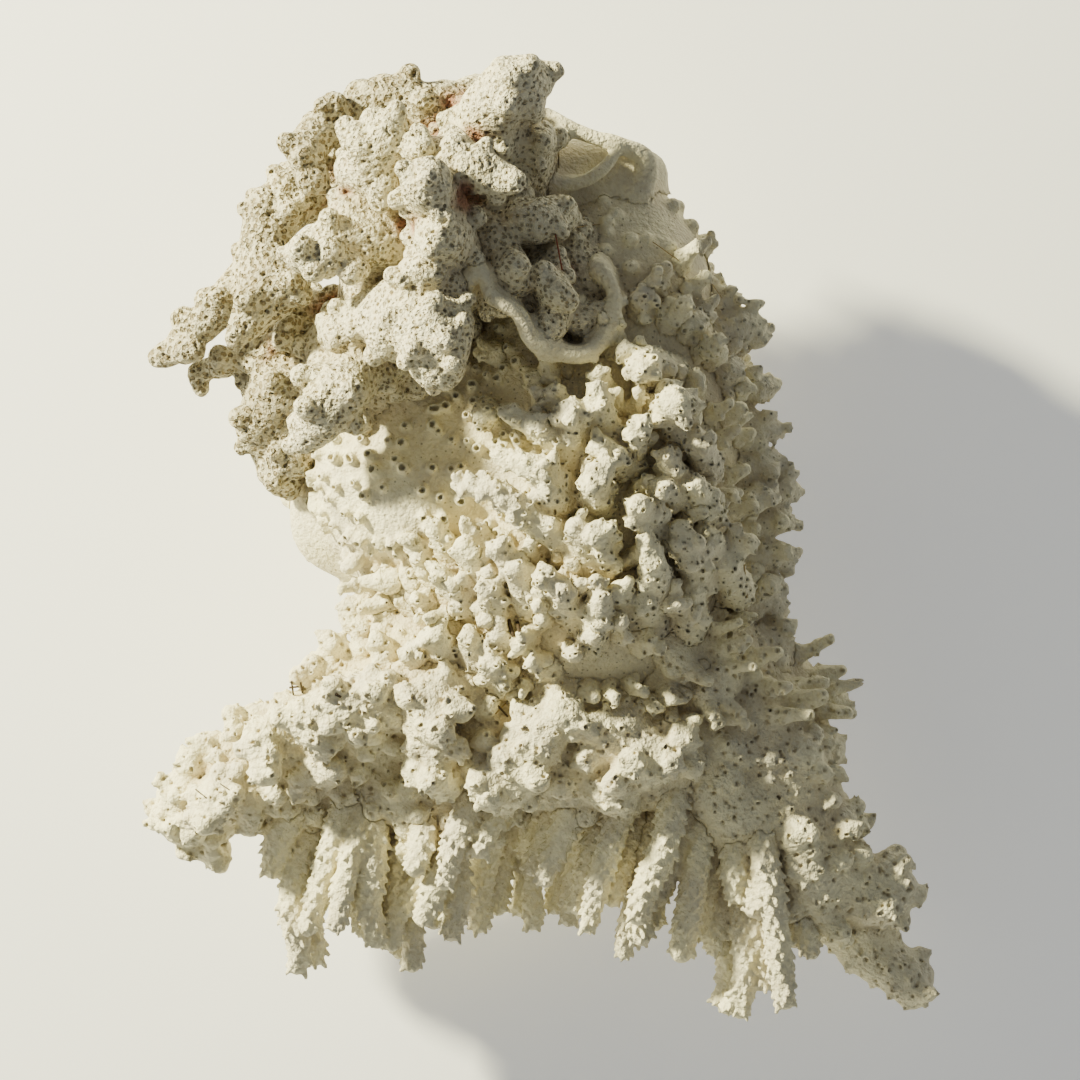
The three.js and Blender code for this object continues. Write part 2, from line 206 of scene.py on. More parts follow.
class Growth:
    """A piece of coral while it grows: its block of the lattice and the distance field there."""

    def __init__(self, limbs, blend, more_limbs=(), more_blend=1.0):
        curves = [(curve_through(stations), blend) for stations in limbs]
        curves += [(curve_through(stations), more_blend) for stations in more_limbs]
        every_point = np.vstack([points for (points, radii), fillet in curves])
        every_radius = np.hstack([radii for (points, radii), fillet in curves])
        self.block = block_around(every_point, every_radius, REACH)
        self.shape = tuple(side.stop - side.start for side in self.block)
        self.corner = lattice_low + GRAIN * np.array([side.start for side in self.block])
        self.field = np.full(self.shape, REACH, dtype=np.float32)
        self.pit_shade = np.zeros(self.shape, dtype=np.float32)
        self.run_points = []
        self.runs = []
        self.run_radii = []
        for (points, radii), fillet in curves:
            self.add_limb(points, radii, fillet)

    def add_limb(self, points, radii, blend):
        """Fuse one limb on, rod by rod, and note where it runs."""
        limb_block = block_around(points, radii, REACH)
        limb = np.full([side.stop - side.start for side in limb_block], REACH, dtype=np.float32)
        for place in range(len(points) - 1):
            ends = points[place:place + 2]
            rod_block = block_around(ends, radii[place:place + 2], REACH)
            rod = rod_distance(rod_block, ends[0], ends[1], radii[place], radii[place + 1])
            inside = inner_block(rod_block, limb_block)
            limb[inside] = np.minimum(limb[inside], rod)
            self.run_points.append(ends.mean(axis=0))
            self.runs.append(ends[1] - ends[0])
            self.run_radii.append(radii[place:place + 2].mean())
        inside = inner_block(limb_block, self.block)
        self.field[inside] = fused(self.field[inside], limb, blend)

    def roughen(self, width, height, seed):
        """Swell and sink the surface in soft lumps about width mm across."""
        self.field += height * relief(self.shape, width, seed)

    def spots(self, spacing, seed, where=None):
        """Scattered places on the surface, about spacing mm apart, and their outward directions."""
        random = np.random.default_rng(seed)
        counts = (np.array(self.shape) * GRAIN / spacing).astype(int)
        cells = np.stack(np.meshgrid(*map(np.arange, counts), indexing="ij"), axis=-1).reshape(-1, 3)
        places = (cells + random.uniform(0, 1, cells.shape)) * spacing / GRAIN
        places = places[np.abs(sample(self.field, places)) < 0.5 * spacing]
        for _ in range(SURFACE_STEPS):
            places = places - slope(self.field, places) * sample(self.field, places)[:, None] / GRAIN
        places = places[np.abs(sample(self.field, places)) < ON_SURFACE]
        crowd = np.floor(places * GRAIN / (CROWDING * spacing)).astype(int)
        _, first = np.unique(crowd, axis=0, return_index=True)
        places = places[np.sort(first)]
        places = places[sample(grown[self.block], places) > OPEN_AIR]
        spots = places * GRAIN + self.corner
        outward = slope(self.field, places)
        if where is not None:
            chosen = where(spots, outward)
            spots, outward = spots[chosen], outward[chosen]
        return spots, outward

    def growing_direction(self, spots):
        """The direction in which the nearest limb grows, for each spot."""
        apart = spots[:, None, :] - np.array(self.run_points)[None, :, :]
        nearest = np.array(self.runs)[(apart**2).sum(axis=2).argmin(axis=1)]
        return nearest / np.linalg.norm(nearest, axis=1, keepdims=True)

    def stud(self, every, share, stand, forward, blend, seed):
        """Knobs along the limbs, one for every so many mm, each a share of its limb's radius."""
        random = np.random.default_rng(seed)
        runs = np.array(self.runs)
        lengths = np.linalg.norm(runs, axis=1)
        counts = random.poisson(lengths / every)
        along = np.repeat(runs / lengths[:, None], counts, axis=0)
        radii = np.repeat(self.run_radii, counts)
        tails = np.repeat(self.run_points, counts, axis=0)
        tails = tails + random.uniform(-0.5, 0.5, (len(tails), 1)) * np.repeat(runs, counts, axis=0)
        side = np.cross(along, random.normal(size=tails.shape))
        side /= np.linalg.norm(side, axis=1, keepdims=True)
        heads = tails + radii[:, None] * (stand * side + forward * along)
        wide = share * radii * random.uniform(0.8, 1.2, len(radii))
        kept = (side[:, 2] > FACES_AWAY) | (random.uniform(size=len(side)) < HIDDEN_SHARE)
        self.press(tails[kept], heads[kept], wide[kept], wide[kept], blend)

    def sprout(self, spots, outward, lengths, radii, lean, blend, seed):
        """Small knobs that stand on the surface at the spots, leaning as they are told."""
        random = np.random.default_rng(seed)
        rise = outward + lean + WANDER * random.normal(size=spots.shape)
        rise /= np.linalg.norm(rise, axis=1, keepdims=True)
        heads = spots + random.uniform(*lengths, (len(spots), 1)) * rise
        wide = random.uniform(*radii, len(spots))
        self.press(spots - outward, heads, 1.2 * wide, wide, blend)

    def press(self, tails, heads, tail_radii, head_radii, blend):
        """Fuse small rods onto the surface."""
        for inside, rod in self.rods(tails, heads, tail_radii, head_radii, blend):
            self.field[inside] = fused(self.field[inside], rod, blend)

    def carve(self, tails, heads, tail_radii, head_radii, blend, shade_pits=True):
        """Cut small rods out of the surface, and paint shade on the walls of what they leave."""
        for inside, rod in self.rods(tails, heads, tail_radii, head_radii, blend):
            self.field[inside] = carved(self.field[inside], rod, blend)
            if shade_pits:
                # Painted shade on the walls of the cut, darkest deep inside it.
                depth = np.clip(0.5 - rod / PIT_SHADE_EDGE, 0, 1)
                self.pit_shade[inside] = np.maximum(self.pit_shade[inside], depth)

    def rods(self, tails, heads, tail_radii, head_radii, blend):
        """Each small rod as its distances, and the part of this piece's block that they fill."""
        tail_radii = np.broadcast_to(tail_radii, len(tails))
        head_radii = np.broadcast_to(head_radii, len(tails))
        for tail, head, tail_radius, head_radius in zip(tails, heads, tail_radii, head_radii):
            ends = np.array([tail, head])
            rod_block = block_around(ends, (tail_radius, head_radius), blend + 2 * GRAIN)
            inside = inner_block(rod_block, self.block)
            rod = rod_distance(rod_block, ends[0], ends[1], tail_radius, head_radius)
            if rod.shape == self.field[inside].shape:
                yield inside, rod

    def cut_back(self, fillet):
        """Fit the piece face to face against what has grown before, with a fillet."""
        before = grown[self.block]
        self.field = np.maximum(fused(self.field, before, fillet), FITTED_GAP - before)

    def settle(self):
        """Let later pieces know that this one is here."""
        grown[self.block] = np.minimum(grown[self.block], self.field)


def without_crumbs(count, faces):
    """Which vertices belong to loose bodies that are more than a crumb."""
    label = np.arange(count)
    edges = np.vstack([faces[:, [corner, corner + 1]] for corner in range(faces.shape[1] - 1)])
    settled = False
    while not settled:
        lowest = np.minimum(label[edges[:, 0]], label[edges[:, 1]])
        before = label.copy()
        np.minimum.at(label, edges[:, 0], lowest)
        np.minimum.at(label, edges[:, 1], lowest)
        label = label[label]
        settled = bool((label == before).all())
    return np.bincount(label, minlength=count)[label] > CRUMB


def coral_piece(name, node, growth, material):
    """The closed surface of a growth as a mesh, without the crumbs that cutting leaves."""
    grid = openvdb.FloatGrid(REACH)
    grid.copyFromArray(np.clip(growth.field / GRAIN, -REACH, REACH).astype(np.float32))
    places, triangles, quads = grid.convertToPolygons(0.0, FLATNESS)
    as_quads = np.vstack([quads, triangles[:, [0, 1, 2, 2]]])
    kept = without_crumbs(len(places), as_quads)
    renumber = np.cumsum(kept) - 1
    triangles = renumber[triangles[kept[triangles[:, 0]]]]
    quads = renumber[quads[kept[quads[:, 0]]]]
    places = places[kept]
    points = (places * GRAIN + growth.corner) * MM

    mesh = bpy.data.meshes.new(name)
    mesh.vertices.add(len(points))
    mesh.vertices.foreach_set("co", points.ravel())
    mesh.loops.add(quads.size + triangles.size)
    corners = np.hstack([quads.ravel(), triangles.ravel()]).astype(np.int32)
    mesh.loops.foreach_set("vertex_index", corners)
    mesh.polygons.add(len(quads) + len(triangles))
    starts = np.hstack([np.arange(len(quads)) * 4, quads.size + np.arange(len(triangles)) * 3])
    mesh.polygons.foreach_set("loop_start", starts.astype(np.int32))
    mesh.update()
    mesh.validate()
    # The painted shade of the carved pits becomes the pore attribute.
    pit_shade = sample(growth.pit_shade, places)
    mesh.attributes.new("pore", "FLOAT", "POINT").data.foreach_set("value", pit_shade)
    mesh.shade_smooth()
    mesh.materials.append(material)

    piece = bpy.data.objects.new(name, mesh)
    bpy.context.scene.collection.objects.link(piece)
    thinner = piece.modifiers.new("thinner", "DECIMATE")
    thinner.ratio = THINNING
    bpy.context.view_layer.objects.active = piece
    bpy.ops.object.modifier_apply(modifier=thinner.name)
    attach(piece, "root")
    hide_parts(node)


PATCHES = 90
SPECKS = 900
GRIT = 1100
PATCH_RANGE = (0.42, 0.62)
SPECK_RANGE = (0.5, 0.75)
SPECK_SHARE = 0.36
SPECK_BROWN = (0.46, 0.36, 0.21)
# The hollow tan is painted shade: tan where coral crowds round a place, for the shade and warm bounce
# light in folds.
HOLLOW_SHADE_RANGE = (0.48, 0.78)
HOLLOW_SHADE_SHARE = 0.58
HOLLOW_SHADE_TAN = (0.46, 0.36, 0.22)
RUST_SHARE = 0.85
RUST_RED = (0.26, 0.085, 0.045)
PIT_SHADE_RANGE = (0.15, 0.85)
PIT_SHADE_SHARE = 0.58
WALL_START = 0.7
GRAIN_HEIGHT = 0.0008
PIT_DEPTH = 0.0008
DRY_ROUGHNESS = 0.82
DRY_GLOSS = 0.3
RELIEF_STRENGTH = 0.8
CELL_WANDER = 0.8


def coral_material(name, pale, grey, pores_per_metre, pore_width, pore_shade_colour, pore_shade_share, depth,
                   pitted=False):
    """Dry coral: cream limestone that greys in patches, with painted shade in its fine pores and tan
    painted shade in its hollows.
    """
    material = bpy.data.materials.new(name)
    material.use_nodes = True
    nodes = material.node_tree.nodes
    links = material.node_tree.links
    shader = nodes["Principled BSDF"]
    place = nodes.new("ShaderNodeTexCoord").outputs["Object"]

    def cloud(scale, detail):
        texture = nodes.new("ShaderNodeTexNoise")
        texture.inputs["Scale"].default_value = scale
        texture.inputs["Detail"].default_value = detail
        links.new(place, texture.inputs["Vector"])
        return texture.outputs["Fac"]

    def spread(value, low, high, start=0.0, end=1.0):
        node = nodes.new("ShaderNodeMapRange")
        node.inputs["From Min"].default_value = low
        node.inputs["From Max"].default_value = high
        node.inputs["To Min"].default_value = start
        node.inputs["To Max"].default_value = end
        links.new(value, node.inputs["Value"])
        return node.outputs["Result"]

    def measured(attribute):
        node = nodes.new("ShaderNodeAttribute")
        node.attribute_name = attribute
        return node.outputs["Fac"]

    def mixed(share, under, over):
        node = nodes.new("ShaderNodeMix")
        node.data_type = "RGBA"
        links.new(share, node.inputs["Factor"])
        for colour, socket in ((under, node.inputs["A"]), (over, node.inputs["B"])):
            if isinstance(colour, tuple):
                socket.default_value = (*colour, 1.0)
            else:
                links.new(colour, socket)
        return node.outputs["Result"]

    def raised(height, metres, under=None):
        node = nodes.new("ShaderNodeBump")
        node.inputs["Strength"].default_value = RELIEF_STRENGTH
        node.inputs["Distance"].default_value = metres
        links.new(height, node.inputs["Height"])
        if under is not None:
            links.new(under, node.inputs["Normal"])
        return node.outputs["Normal"]

    cells = nodes.new("ShaderNodeTexVoronoi")
    cells.inputs["Scale"].default_value = pores_per_metre
    cells.inputs["Randomness"].default_value = CELL_WANDER
    links.new(place, cells.inputs["Vector"])
    wall = spread(cells.outputs["Distance"], WALL_START * pore_width, pore_width)

    colour = mixed(spread(cloud(PATCHES, 3), *PATCH_RANGE), pale, grey)
    specks = spread(cloud(SPECKS, 2), *SPECK_RANGE, 0.0, SPECK_SHARE * depth)
    colour = mixed(specks, colour, SPECK_BROWN)
    # Painted shade: tan where the coral crowds round, for the shade and warm bounce light in the
    # hollows.
    colour = mixed(spread(measured("hollow"), *HOLLOW_SHADE_RANGE, 0.0, HOLLOW_SHADE_SHARE), colour, HOLLOW_SHADE_TAN)
    colour = mixed(spread(measured("rust"), 0.0, 1.0, 0.0, RUST_SHARE), colour, RUST_RED)
    # Painted shade: each pore dot is darkened, for the shade inside the small hole.
    colour = mixed(spread(wall, 0.0, 1.0, pore_shade_share, 0.0), colour, pore_shade_colour)
    # Painted shade on the walls of carved pores and cup mouths.
    colour = mixed(spread(measured("pore"), *PIT_SHADE_RANGE, 0.0, PIT_SHADE_SHARE), colour, pore_shade_colour)
    links.new(colour, shader.inputs["Base Color"])
    shader.inputs["Roughness"].default_value = DRY_ROUGHNESS
    shader.inputs["Specular IOR Level"].default_value = DRY_GLOSS
    relief_normal = raised(cloud(GRIT, 2), GRAIN_HEIGHT * depth)
    if pitted:
        relief_normal = raised(wall, PIT_DEPTH * depth, relief_normal)
    links.new(relief_normal, shader.inputs["Normal"])
    return material


CREAM = (0.82, 0.765, 0.54)
IVORY_GREY = (0.68, 0.63, 0.48)
# The pore colours are painted shade, for the shade inside pores and cup mouths.
PORE_SHADE_BROWN = (0.10, 0.072, 0.038)
smooth_skeleton = coral_material("coral_smooth", pale=CREAM, grey=IVORY_GREY, pores_per_metre=700,
                                 pore_width=0.20, pore_shade_colour=PORE_SHADE_BROWN, pore_shade_share=0.5, depth=1.0)
TRUNK_FOOT = [
    [[0.5, 7.5, -10, 26], [0.5, 7.5, 3, 30], [1, 8.5, 14, 30], [1, 12.5, 26, 26]],
    [[1, -8.5, -10, 25], [1, -8.5, 3, 29], [1, -8.5, 14, 29], [1, -10, 26, 24]],
]
foot = Growth(TRUNK_FOOT, blend=4.0)
foot.roughen(width=9.0, height=3.0, seed=11)
foot.roughen(width=2.5, height=0.6, seed=12)
foot.sprout(*foot.spots(spacing=5.5, seed=13), lengths=(0.1, 0.8), radii=(1.1, 1.9), lean=0.0,
            blend=0.9, seed=14)
foot.field = np.maximum(foot.field, -rulers(foot.block)[2])
foot.settle()
coral_piece("trunk_foot", "trunk", foot, smooth_skeleton)

# The body of the trunk: one thick mass that fans up and out of the foot. A smooth dome swells on
# its left, set with the small raised cups that the polyps sat in, and a low ivory lump lies
# below it. Away from the dome the body is sunk a little, to leave room for its twigs.
TRUNK_MASSES = [
    [[2.5, 67, 42, 12.5], [4, 50, 42, 23], [2, 22, 38, 32], [1, -4, 36, 32], [0, -22.5, 34, 23]],
    [[-15, 18, 42, 20], [-32, 11, 47, 16.5]],
    [[-37, 12, 38, 13], [-47.5, 4, 33, 9]],
    [[-21, 31, 40, 15], [-32, 24, 46, 14.5]],
    [[-42.5, 20, 36, 7], [-52.5, 12, 34, 6.5], [-55, 2, 32, 6], [-48.5, -4, 30, 6], [-39.5, -4, 32, 7]],
    [[-9, -14, 48, 15], [-27, -10, 45, 11], [-39, -8, 40, 7]],
    [[-38.5, 22.5, 46, 11], [-43.5, 14, 46, 11], [-40.5, 4, 43, 9.5]],
]
DOME = np.array((-30.0, 18.0, 48.0))
DOME_RADIUS = 29.0
DOME_EDGE = 8.0
SUNK = 1.8
SHOULDER_CALM = (4.0, 72.0)
CALM_RADIUS = 21.0
SHELL_EDGE_Y = 68.0
IVORY_LUMP = (-53.0, -1.0)
IVORY_RADIUS = 9.0
BARE_FOOT = 14.0
TWIG_SPACING = 5.2
TURNED_UP = -0.2
TURNED_DOWN = -0.25


def towards_camera(spots, outward):
    """Whether a spot faces up at all, or only a little down."""
    return outward[:, 2] > TURNED_UP


def on_dome(spots, outward):
    """Whether a spot is on the smooth dome."""
    return (np.linalg.norm(spots - DOME, axis=1) < DOME_RADIUS) & towards_camera(spots, outward)


def on_shoulder(spots):
    """Whether a spot is on the shoulder, where no twigs stand."""
    apart = np.hypot(spots[:, 0] - SHOULDER_CALM[0], spots[:, 1] - SHOULDER_CALM[1])
    return apart < CALM_RADIUS


def below_shell(spots, outward):
    """Whether a spot is on the shoulder, but not where the shell covers it."""
    return on_shoulder(spots) & (spots[:, 1] < SHELL_EDGE_Y)


def twig_ground(spots, outward):
    """Whether twigs stand at a spot: on the front and sides, but not where the body is smooth."""
    from_ivory = np.hypot(spots[:, 0] - IVORY_LUMP[0], spots[:, 1] - IVORY_LUMP[1])
    rough = ~on_dome(spots, outward) & ~on_shoulder(spots) & (from_ivory > IVORY_RADIUS)
    return rough & (spots[:, 2] > BARE_FOOT) & (outward[:, 2] > FACES_AWAY)


def behind(spots, outward):
    """Whether a spot faces away from the camera, where the coral stays short and knobby."""
    return outward[:, 2] < TURNED_DOWN


CUP_SIZES = (0.75, 1.15)
MOUTH_SHARE = 0.42
THROAT_SHARE = 0.35


def raise_cups(growth, spacing, radius, height, lean, seed, where=None):
    """Raise the small cups of the polyps, leaning the way the limb grows, each with its mouth."""
    spots, outward = growth.spots(spacing, seed, where)
    size = np.random.default_rng(seed).uniform(*CUP_SIZES, len(spots))
    rise = outward * height + lean * growth.growing_direction(spots)
    heads = spots + rise * size[:, None]
    growth.press(spots - 0.5 * outward, heads, radius * size, 0.8 * radius * size, blend=0.6)
    point = rise / np.linalg.norm(rise, axis=1, keepdims=True)
    mouths = heads + 0.55 * radius * point
    growth.carve(mouths, mouths - 1.2 * point, MOUTH_SHARE * radius * size,
                 THROAT_SHARE * radius * size, blend=0.1)


body = Growth(TRUNK_MASSES, blend=4.0)
x, y, z = rulers(body.block)
from_dome = np.sqrt((x - DOME[0])**2 + (y - DOME[1])**2 + (z - DOME[2])**2)
body.field += SUNK * np.clip((from_dome - DOME_RADIUS) / DOME_EDGE, 0, 1)
body.roughen(width=7.0, height=1.2, seed=21)
body.roughen(width=2.5, height=0.2, seed=22)
raise_cups(body, spacing=4.1, radius=1.35, height=1.25, lean=0.0, seed=24, where=on_dome)
body.sprout(*body.spots(spacing=5.0, seed=27, where=below_shell), lengths=(0.0, 0.7),
            radii=(1.0, 1.8), lean=(0.2, 0.3, 0.0), blend=0.9, seed=28)
body.sprout(*body.spots(spacing=5.0, seed=29, where=behind), lengths=(0.2, 1.2), radii=(1.0, 1.8),
            lean=0.0, blend=0.8, seed=30)
twig_spots, twig_outward = body.spots(TWIG_SPACING, seed=26, where=twig_ground)
body.cut_back(fillet=3.0)
body.settle()
coral_piece("trunk_body", "trunk", body, smooth_skeleton)

# The branchlets: the larger branches that stand up from the trunk and fan out of its waist. The
# coral grew them in one with the body, each with small knobs and cups along it that point to its
# tip, so each is a limb fused to the body and studded.
TRUNK_BRANCHLETS = [
    [[16, 32, 62, 6], [12, 34, 70, 4.4], [10.5, 33, 76, 3.6]],
    [[12.5, 34, 66, 4], [7.5, 36.5, 72, 2.6]],
    [[16, 23.5, 62, 6], [17, 26.5, 76, 4.4]],
    [[3.5, 29, 68, 3.4], [2.5, 32, 72, 2.2]],
    [[4, 20, 70, 4.2], [2.5, 26, 76, 3.4], [2, 28.5, 77, 2.8]],
    [[-2, 18.5, 68, 5], [-3, 24.5, 78, 3.6]],
    [[-4, 23.5, 70, 4], [-6, 28.5, 74, 2.6]],
    [[-2, 15.5, 68, 5], [-8, 20.5, 76, 3], [-15, 24.5, 76, 2.4]],
    [[-4, 9.5, 68, 5], [-9, 13.5, 77, 3.4], [-16.5, 16, 75, 2.4]],
    [[-5, 8, 68, 5], [-7.5, 10, 77, 3]],
    [[7.5, 17.5, 68, 4], [10.5, 22, 77, 3]],
    [[8.5, 15, 68, 4], [2.5, 18, 77, 3]],
    [[5, 13.5, 68, 3.6], [6, 16.5, 77, 2.4]],
    [[2, 7, 68, 4.6], [2, 10.5, 77, 3.2], [4, 14.5, 79, 2.2]],
    [[2.5, 8.5, 72, 3.4], [-0.5, 11, 78, 1.8]],
    [[0, -2, 66, 5], [-11, 4.5, 72, 3.8], [-17.5, 9.5, 74, 3], [-24, 10.5, 72, 2.4]],
    [[13.5, 2, 66, 4.6], [10, 6.5, 77, 3.4]],
    [[18.5, 10, 64, 4.6], [15.5, 16, 73, 2.6]],
    [[20.5, 8, 62, 4.6], [14.5, 10, 73, 3]],
    [[23.5, 14, 60, 4.8], [22, 19, 70, 3.2]],
    [[24.5, 5, 60, 4.2], [21.5, 10.5, 71, 2.4]],
    [[1, -5, 66, 4.4], [-2, 2.5, 75, 2.8]],
    [[3.5, -5, 66, 4.4], [2.5, 1.5, 76, 3.2]],
    [[14, -11, 62, 4.8], [13, -5, 72, 3.6], [11.5, 0, 74, 2.6]],
    [[22.5, -8, 58, 4.8], [20, -1.5, 68, 3.8], [18, 2, 70, 2.8]],
    [[25.5, -6, 56, 5], [24, 0, 64, 3.4]],
    [[25.5, -3, 56, 5], [32, -0.5, 60, 2.6]],
    [[30, -10, 50, 5], [27.5, -4.5, 60, 3.4]],
    [[3, -15.5, 62, 4], [2, -8, 73, 2]],
    [[-5, -12, 62, 4.6], [-8, -7, 73, 3]],
    [[-2, -14.5, 62, 4.4], [-5, -9.5, 73, 3]],
    [[1, -19.5, 58, 5], [2.5, -14, 70, 3.4], [3, -11.5, 73, 2.4]],
    [[8, -16, 58, 5], [6.5, -10, 70, 3]],
    [[12.5, -16, 58, 5], [11.5, -11.5, 67, 3.2]],
    [[20.5, -17, 54, 5], [20.5, -10, 62, 3.6]],
    [[22, 45, 46, 6], [28, 47.5, 46, 3.6], [30, 48, 46, 1.8]],
    [[25, 40, 46, 7], [32, 43, 46, 4.4], [34.5, 40.5, 45, 3]],
    [[23, 32, 48, 7], [28.5, 33.5, 52, 3.8]],
    [[28, 31, 42, 6], [34.5, 30.5, 42, 4], [38.5, 31.5, 41, 1.6]],
    [[30, 23, 42, 6], [36, 22.5, 42, 3.6], [39, 22, 41, 1.8]],
    [[28, 20, 44, 5], [34.5, 19, 44, 2.6]],
    [[31, 14, 42, 6], [37, 15.5, 42, 3.6], [39.5, 14.5, 41, 2]],
    [[31, 8, 40, 6], [38.5, 10, 40, 4.2], [41.5, 10, 39, 2.8]],
    [[29, 6, 46, 5], [36, 8.5, 47, 2.6]],
    [[31, 3, 40, 6], [38.5, 4, 40, 3.8], [40, 3.5, 39, 2.6]],
    [[32, -4, 40, 6], [38.5, -3, 40, 4], [40.5, -4, 39, 2.8]],
    [[31, -12, 40, 7], [36, -11.5, 40, 4.4], [38.5, -13, 39, 3.2]],
    [[32, -22, 40, 7], [37.5, -20.5, 38, 5], [40, -22, 37, 3.2]],
    [[11, 65, 42, 7], [14.5, 64, 42, 3.4]],
    [[13, 58, 42, 7], [17.5, 58, 42, 2.8]],
    [[14, 53, 42, 8], [21, 54, 42, 4.4], [24.5, 51.5, 42, 3]],
    [[11, 57.5, 50, 6], [7, 58, 60, 2.6]],
    [[13, 47.5, 54, 6], [15.5, 45, 62, 2.8]],
    [[10.5, 43.5, 58, 6], [10.5, 47, 66, 2.4]],
    [[20.5, 41.5, 54, 6], [21.5, 43, 60, 3]],
    [[23, 37.5, 52, 6], [26, 37, 58, 2.8]],
    [[-19, 24.5, 62, 3.6], [-20, 24.5, 68, 2.6]],
    [[-9, 31.5, 62, 3.6], [-10, 31.5, 68, 2.6]],
    [[-4, 33.5, 62, 3], [-4.5, 34, 66, 2.2]],
    [[-25, -6, 56, 4.4], [-29.5, 2, 63, 2]],
    [[-29, -7, 54, 4.4], [-34.5, 0, 60, 1.8]],
    [[-17, -4, 60, 4.4], [-23.5, 3, 66, 1.8]],
    [[-17, -10, 58, 4.6], [-23.5, -1.5, 66, 3.2]],
    [[-9, -9, 62, 4.6], [-17, -2, 70, 2.8]],
    [[-11, -12, 62, 4.4], [-13.5, -5.5, 70, 3]],
    [[-21, -14, 56, 4.4], [-28.5, -7, 62, 2.8]],
    [[-17, -16, 58, 4.4], [-19, -9, 66, 3]],
    [[-27, -14, 50, 4.4], [-35, -7, 52, 2.8]],
    [[-31, -12, 46, 4.4], [-40, -5.5, 46, 2.6]],
    [[-27, -24, 52, 5], [-29.5, -19, 60, 3]],
    [[-21, -24, 54, 5], [-23, -19.5, 61, 2.8]],
    [[-16, -28, 52, 5], [-18.5, -24.5, 61, 3.4]],
    [[-13, -22, 54, 5], [-17, -18.5, 62, 2.4]],
    [[-33, -26, 50, 5], [-34.5, -22.5, 57, 2.8]],
]
BRANCHLET_SLIMMING = 0.78
branchlets = Growth(slimmed(TRUNK_BRANCHLETS, BRANCHLET_SLIMMING), blend=0.8)
branchlets.stud(every=2.1, share=0.42, stand=0.95, forward=0.9, blend=0.5, seed=31)
branchlets.roughen(width=1.8, height=0.3, seed=32)
raise_cups(branchlets, spacing=2.3, radius=0.85, height=0.15, lean=0.25, seed=33,
           where=towards_camera)
branchlets.cut_back(fillet=1.5)
branchlets.settle()
coral_piece("trunk_branchlets", "trunk", branchlets, smooth_skeleton)

# The twigs: hundreds of thin short branches all over the rest of the trunk, of the same limestone.
# They fan out from low in the trunk, and are shorter on its flanks and up on its shoulder. They
# are grown in two meshes, below and above the waist.
FAN_CENTRE = np.array((-8.0, -28.0, 38.0))
WAIST = 5.0
TWIG_RADII = (1.1, 1.7)
TWIG_LENGTHS = (4.5, 8.5)
TWIG_ROOT = 2.0
TWIG_WANDER = 0.15
# Painted shade for the pores of the twigs and arms.
PORE_SHADE_TAN = (0.26, 0.17, 0.075)
flank_skeleton = coral_material("coral_flank", pale=CREAM, grey=IVORY_GREY, pores_per_metre=700,
                                pore_width=0.18, pore_shade_colour=PORE_SHADE_TAN, pore_shade_share=0.4, depth=1.0)


def twigs_from(spots, outward, seed):
    """Short twigs that stand on the surface and fan out from low in the trunk."""
    random = np.random.default_rng(seed)
    twigs = []
    for spot, away in zip(spots, outward):
        fan = (spot - FAN_CENTRE) / np.linalg.norm(spot - FAN_CENTRE)
        lean = 0.6 * away + 0.9 * fan + TWIG_WANDER * random.normal(size=3)
        lean /= np.linalg.norm(lean)
        wide = random.uniform(*TWIG_RADII)
        facing = np.interp(away[2], (0.1, 0.7), (0.45, 1.0))
        height = np.interp(spot[1], (30, 60), (1.0, 0.6))
        tip = spot + facing * height * random.uniform(*TWIG_LENGTHS) * lean
        twigs.append([[*(spot - TWIG_ROOT * away), 1.5 * wide], [*tip, 0.8 * wide]])
    return twigs


for name, half, seed in (("trunk_twigs_low", twig_spots[:, 1] < WAIST, 35),
                         ("trunk_twigs_high", twig_spots[:, 1] >= WAIST, 135)):
    twigs = Growth(twigs_from(twig_spots[half], twig_outward[half], seed), blend=0.7)
    twigs.stud(every=2.4, share=0.5, stand=0.9, forward=0.9, blend=0.4, seed=seed + 1)
    twigs.roughen(width=1.8, height=0.3, seed=seed + 2)
    raise_cups(twigs, spacing=2.8, radius=0.80, height=0.15, lean=0.3, seed=seed + 3,
               where=towards_camera)
    twigs.cut_back(fillet=1.2)
    twigs.settle()
    coral_piece(name, "trunk", twigs, flank_skeleton)

# The middle of the crown: the stout knobby limb that rises over the trunk, with a broken stub at
# its lower end. Its limestone has weathered rough and porous, so it has stouter studs, a second
# coarse relief and open pores sunk into it.
CROWN_MIDDLE = [
    [
      [-21, 81.5, 52, 12], [-29, 71.5, 54, 15], [-33, 57.5, 54, 17], [-36.5, 41.5, 54, 15],
      [-44.5, 32, 52, 11],
    ],
    [[-36.5, 68, 68, 6.5], [-40.5, 72.5, 75, 6.4], [-38.5, 78, 80, 5.2]],
    [[-33.5, 59, 62, 9], [-43, 58.5, 70, 8], [-50.5, 56.5, 74, 6.6], [-54.5, 55.5, 74, 5]],
    [[-28.5, 62.5, 78, 7], [-31, 67.5, 90, 5.8]],
    [[-26.5, 56, 76, 7], [-28.5, 58, 86, 5.8]],
    [[-30, 71.5, 76, 5], [-22.5, 71.5, 84, 5], [-17, 69.5, 84, 4.2]],
    [[-28.5, 73, 78, 5], [-33, 75, 82, 3.6]],
    [[-23.5, 73, 78, 5], [-25.5, 75, 84, 3.2]],
    [[-36, 42.5, 74, 9.5], [-30, 40.5, 82, 8.6], [-29, 33.5, 82, 6.4]],
    [[-32, 46.5, 76, 8], [-31, 51.5, 84, 4.8]],
    [[-36.5, 44, 66, 9], [-42.5, 43, 70, 6.4], [-48, 40, 66, 5]],
    [[-41.5, 37.5, 62, 7], [-47, 30, 70, 6.6], [-50.5, 25, 72, 5.6], [-54.5, 20, 70, 3.4]],
]
CROWN_SLIMMING = 0.90
ROUGH_CREAM = (0.69, 0.64, 0.47)
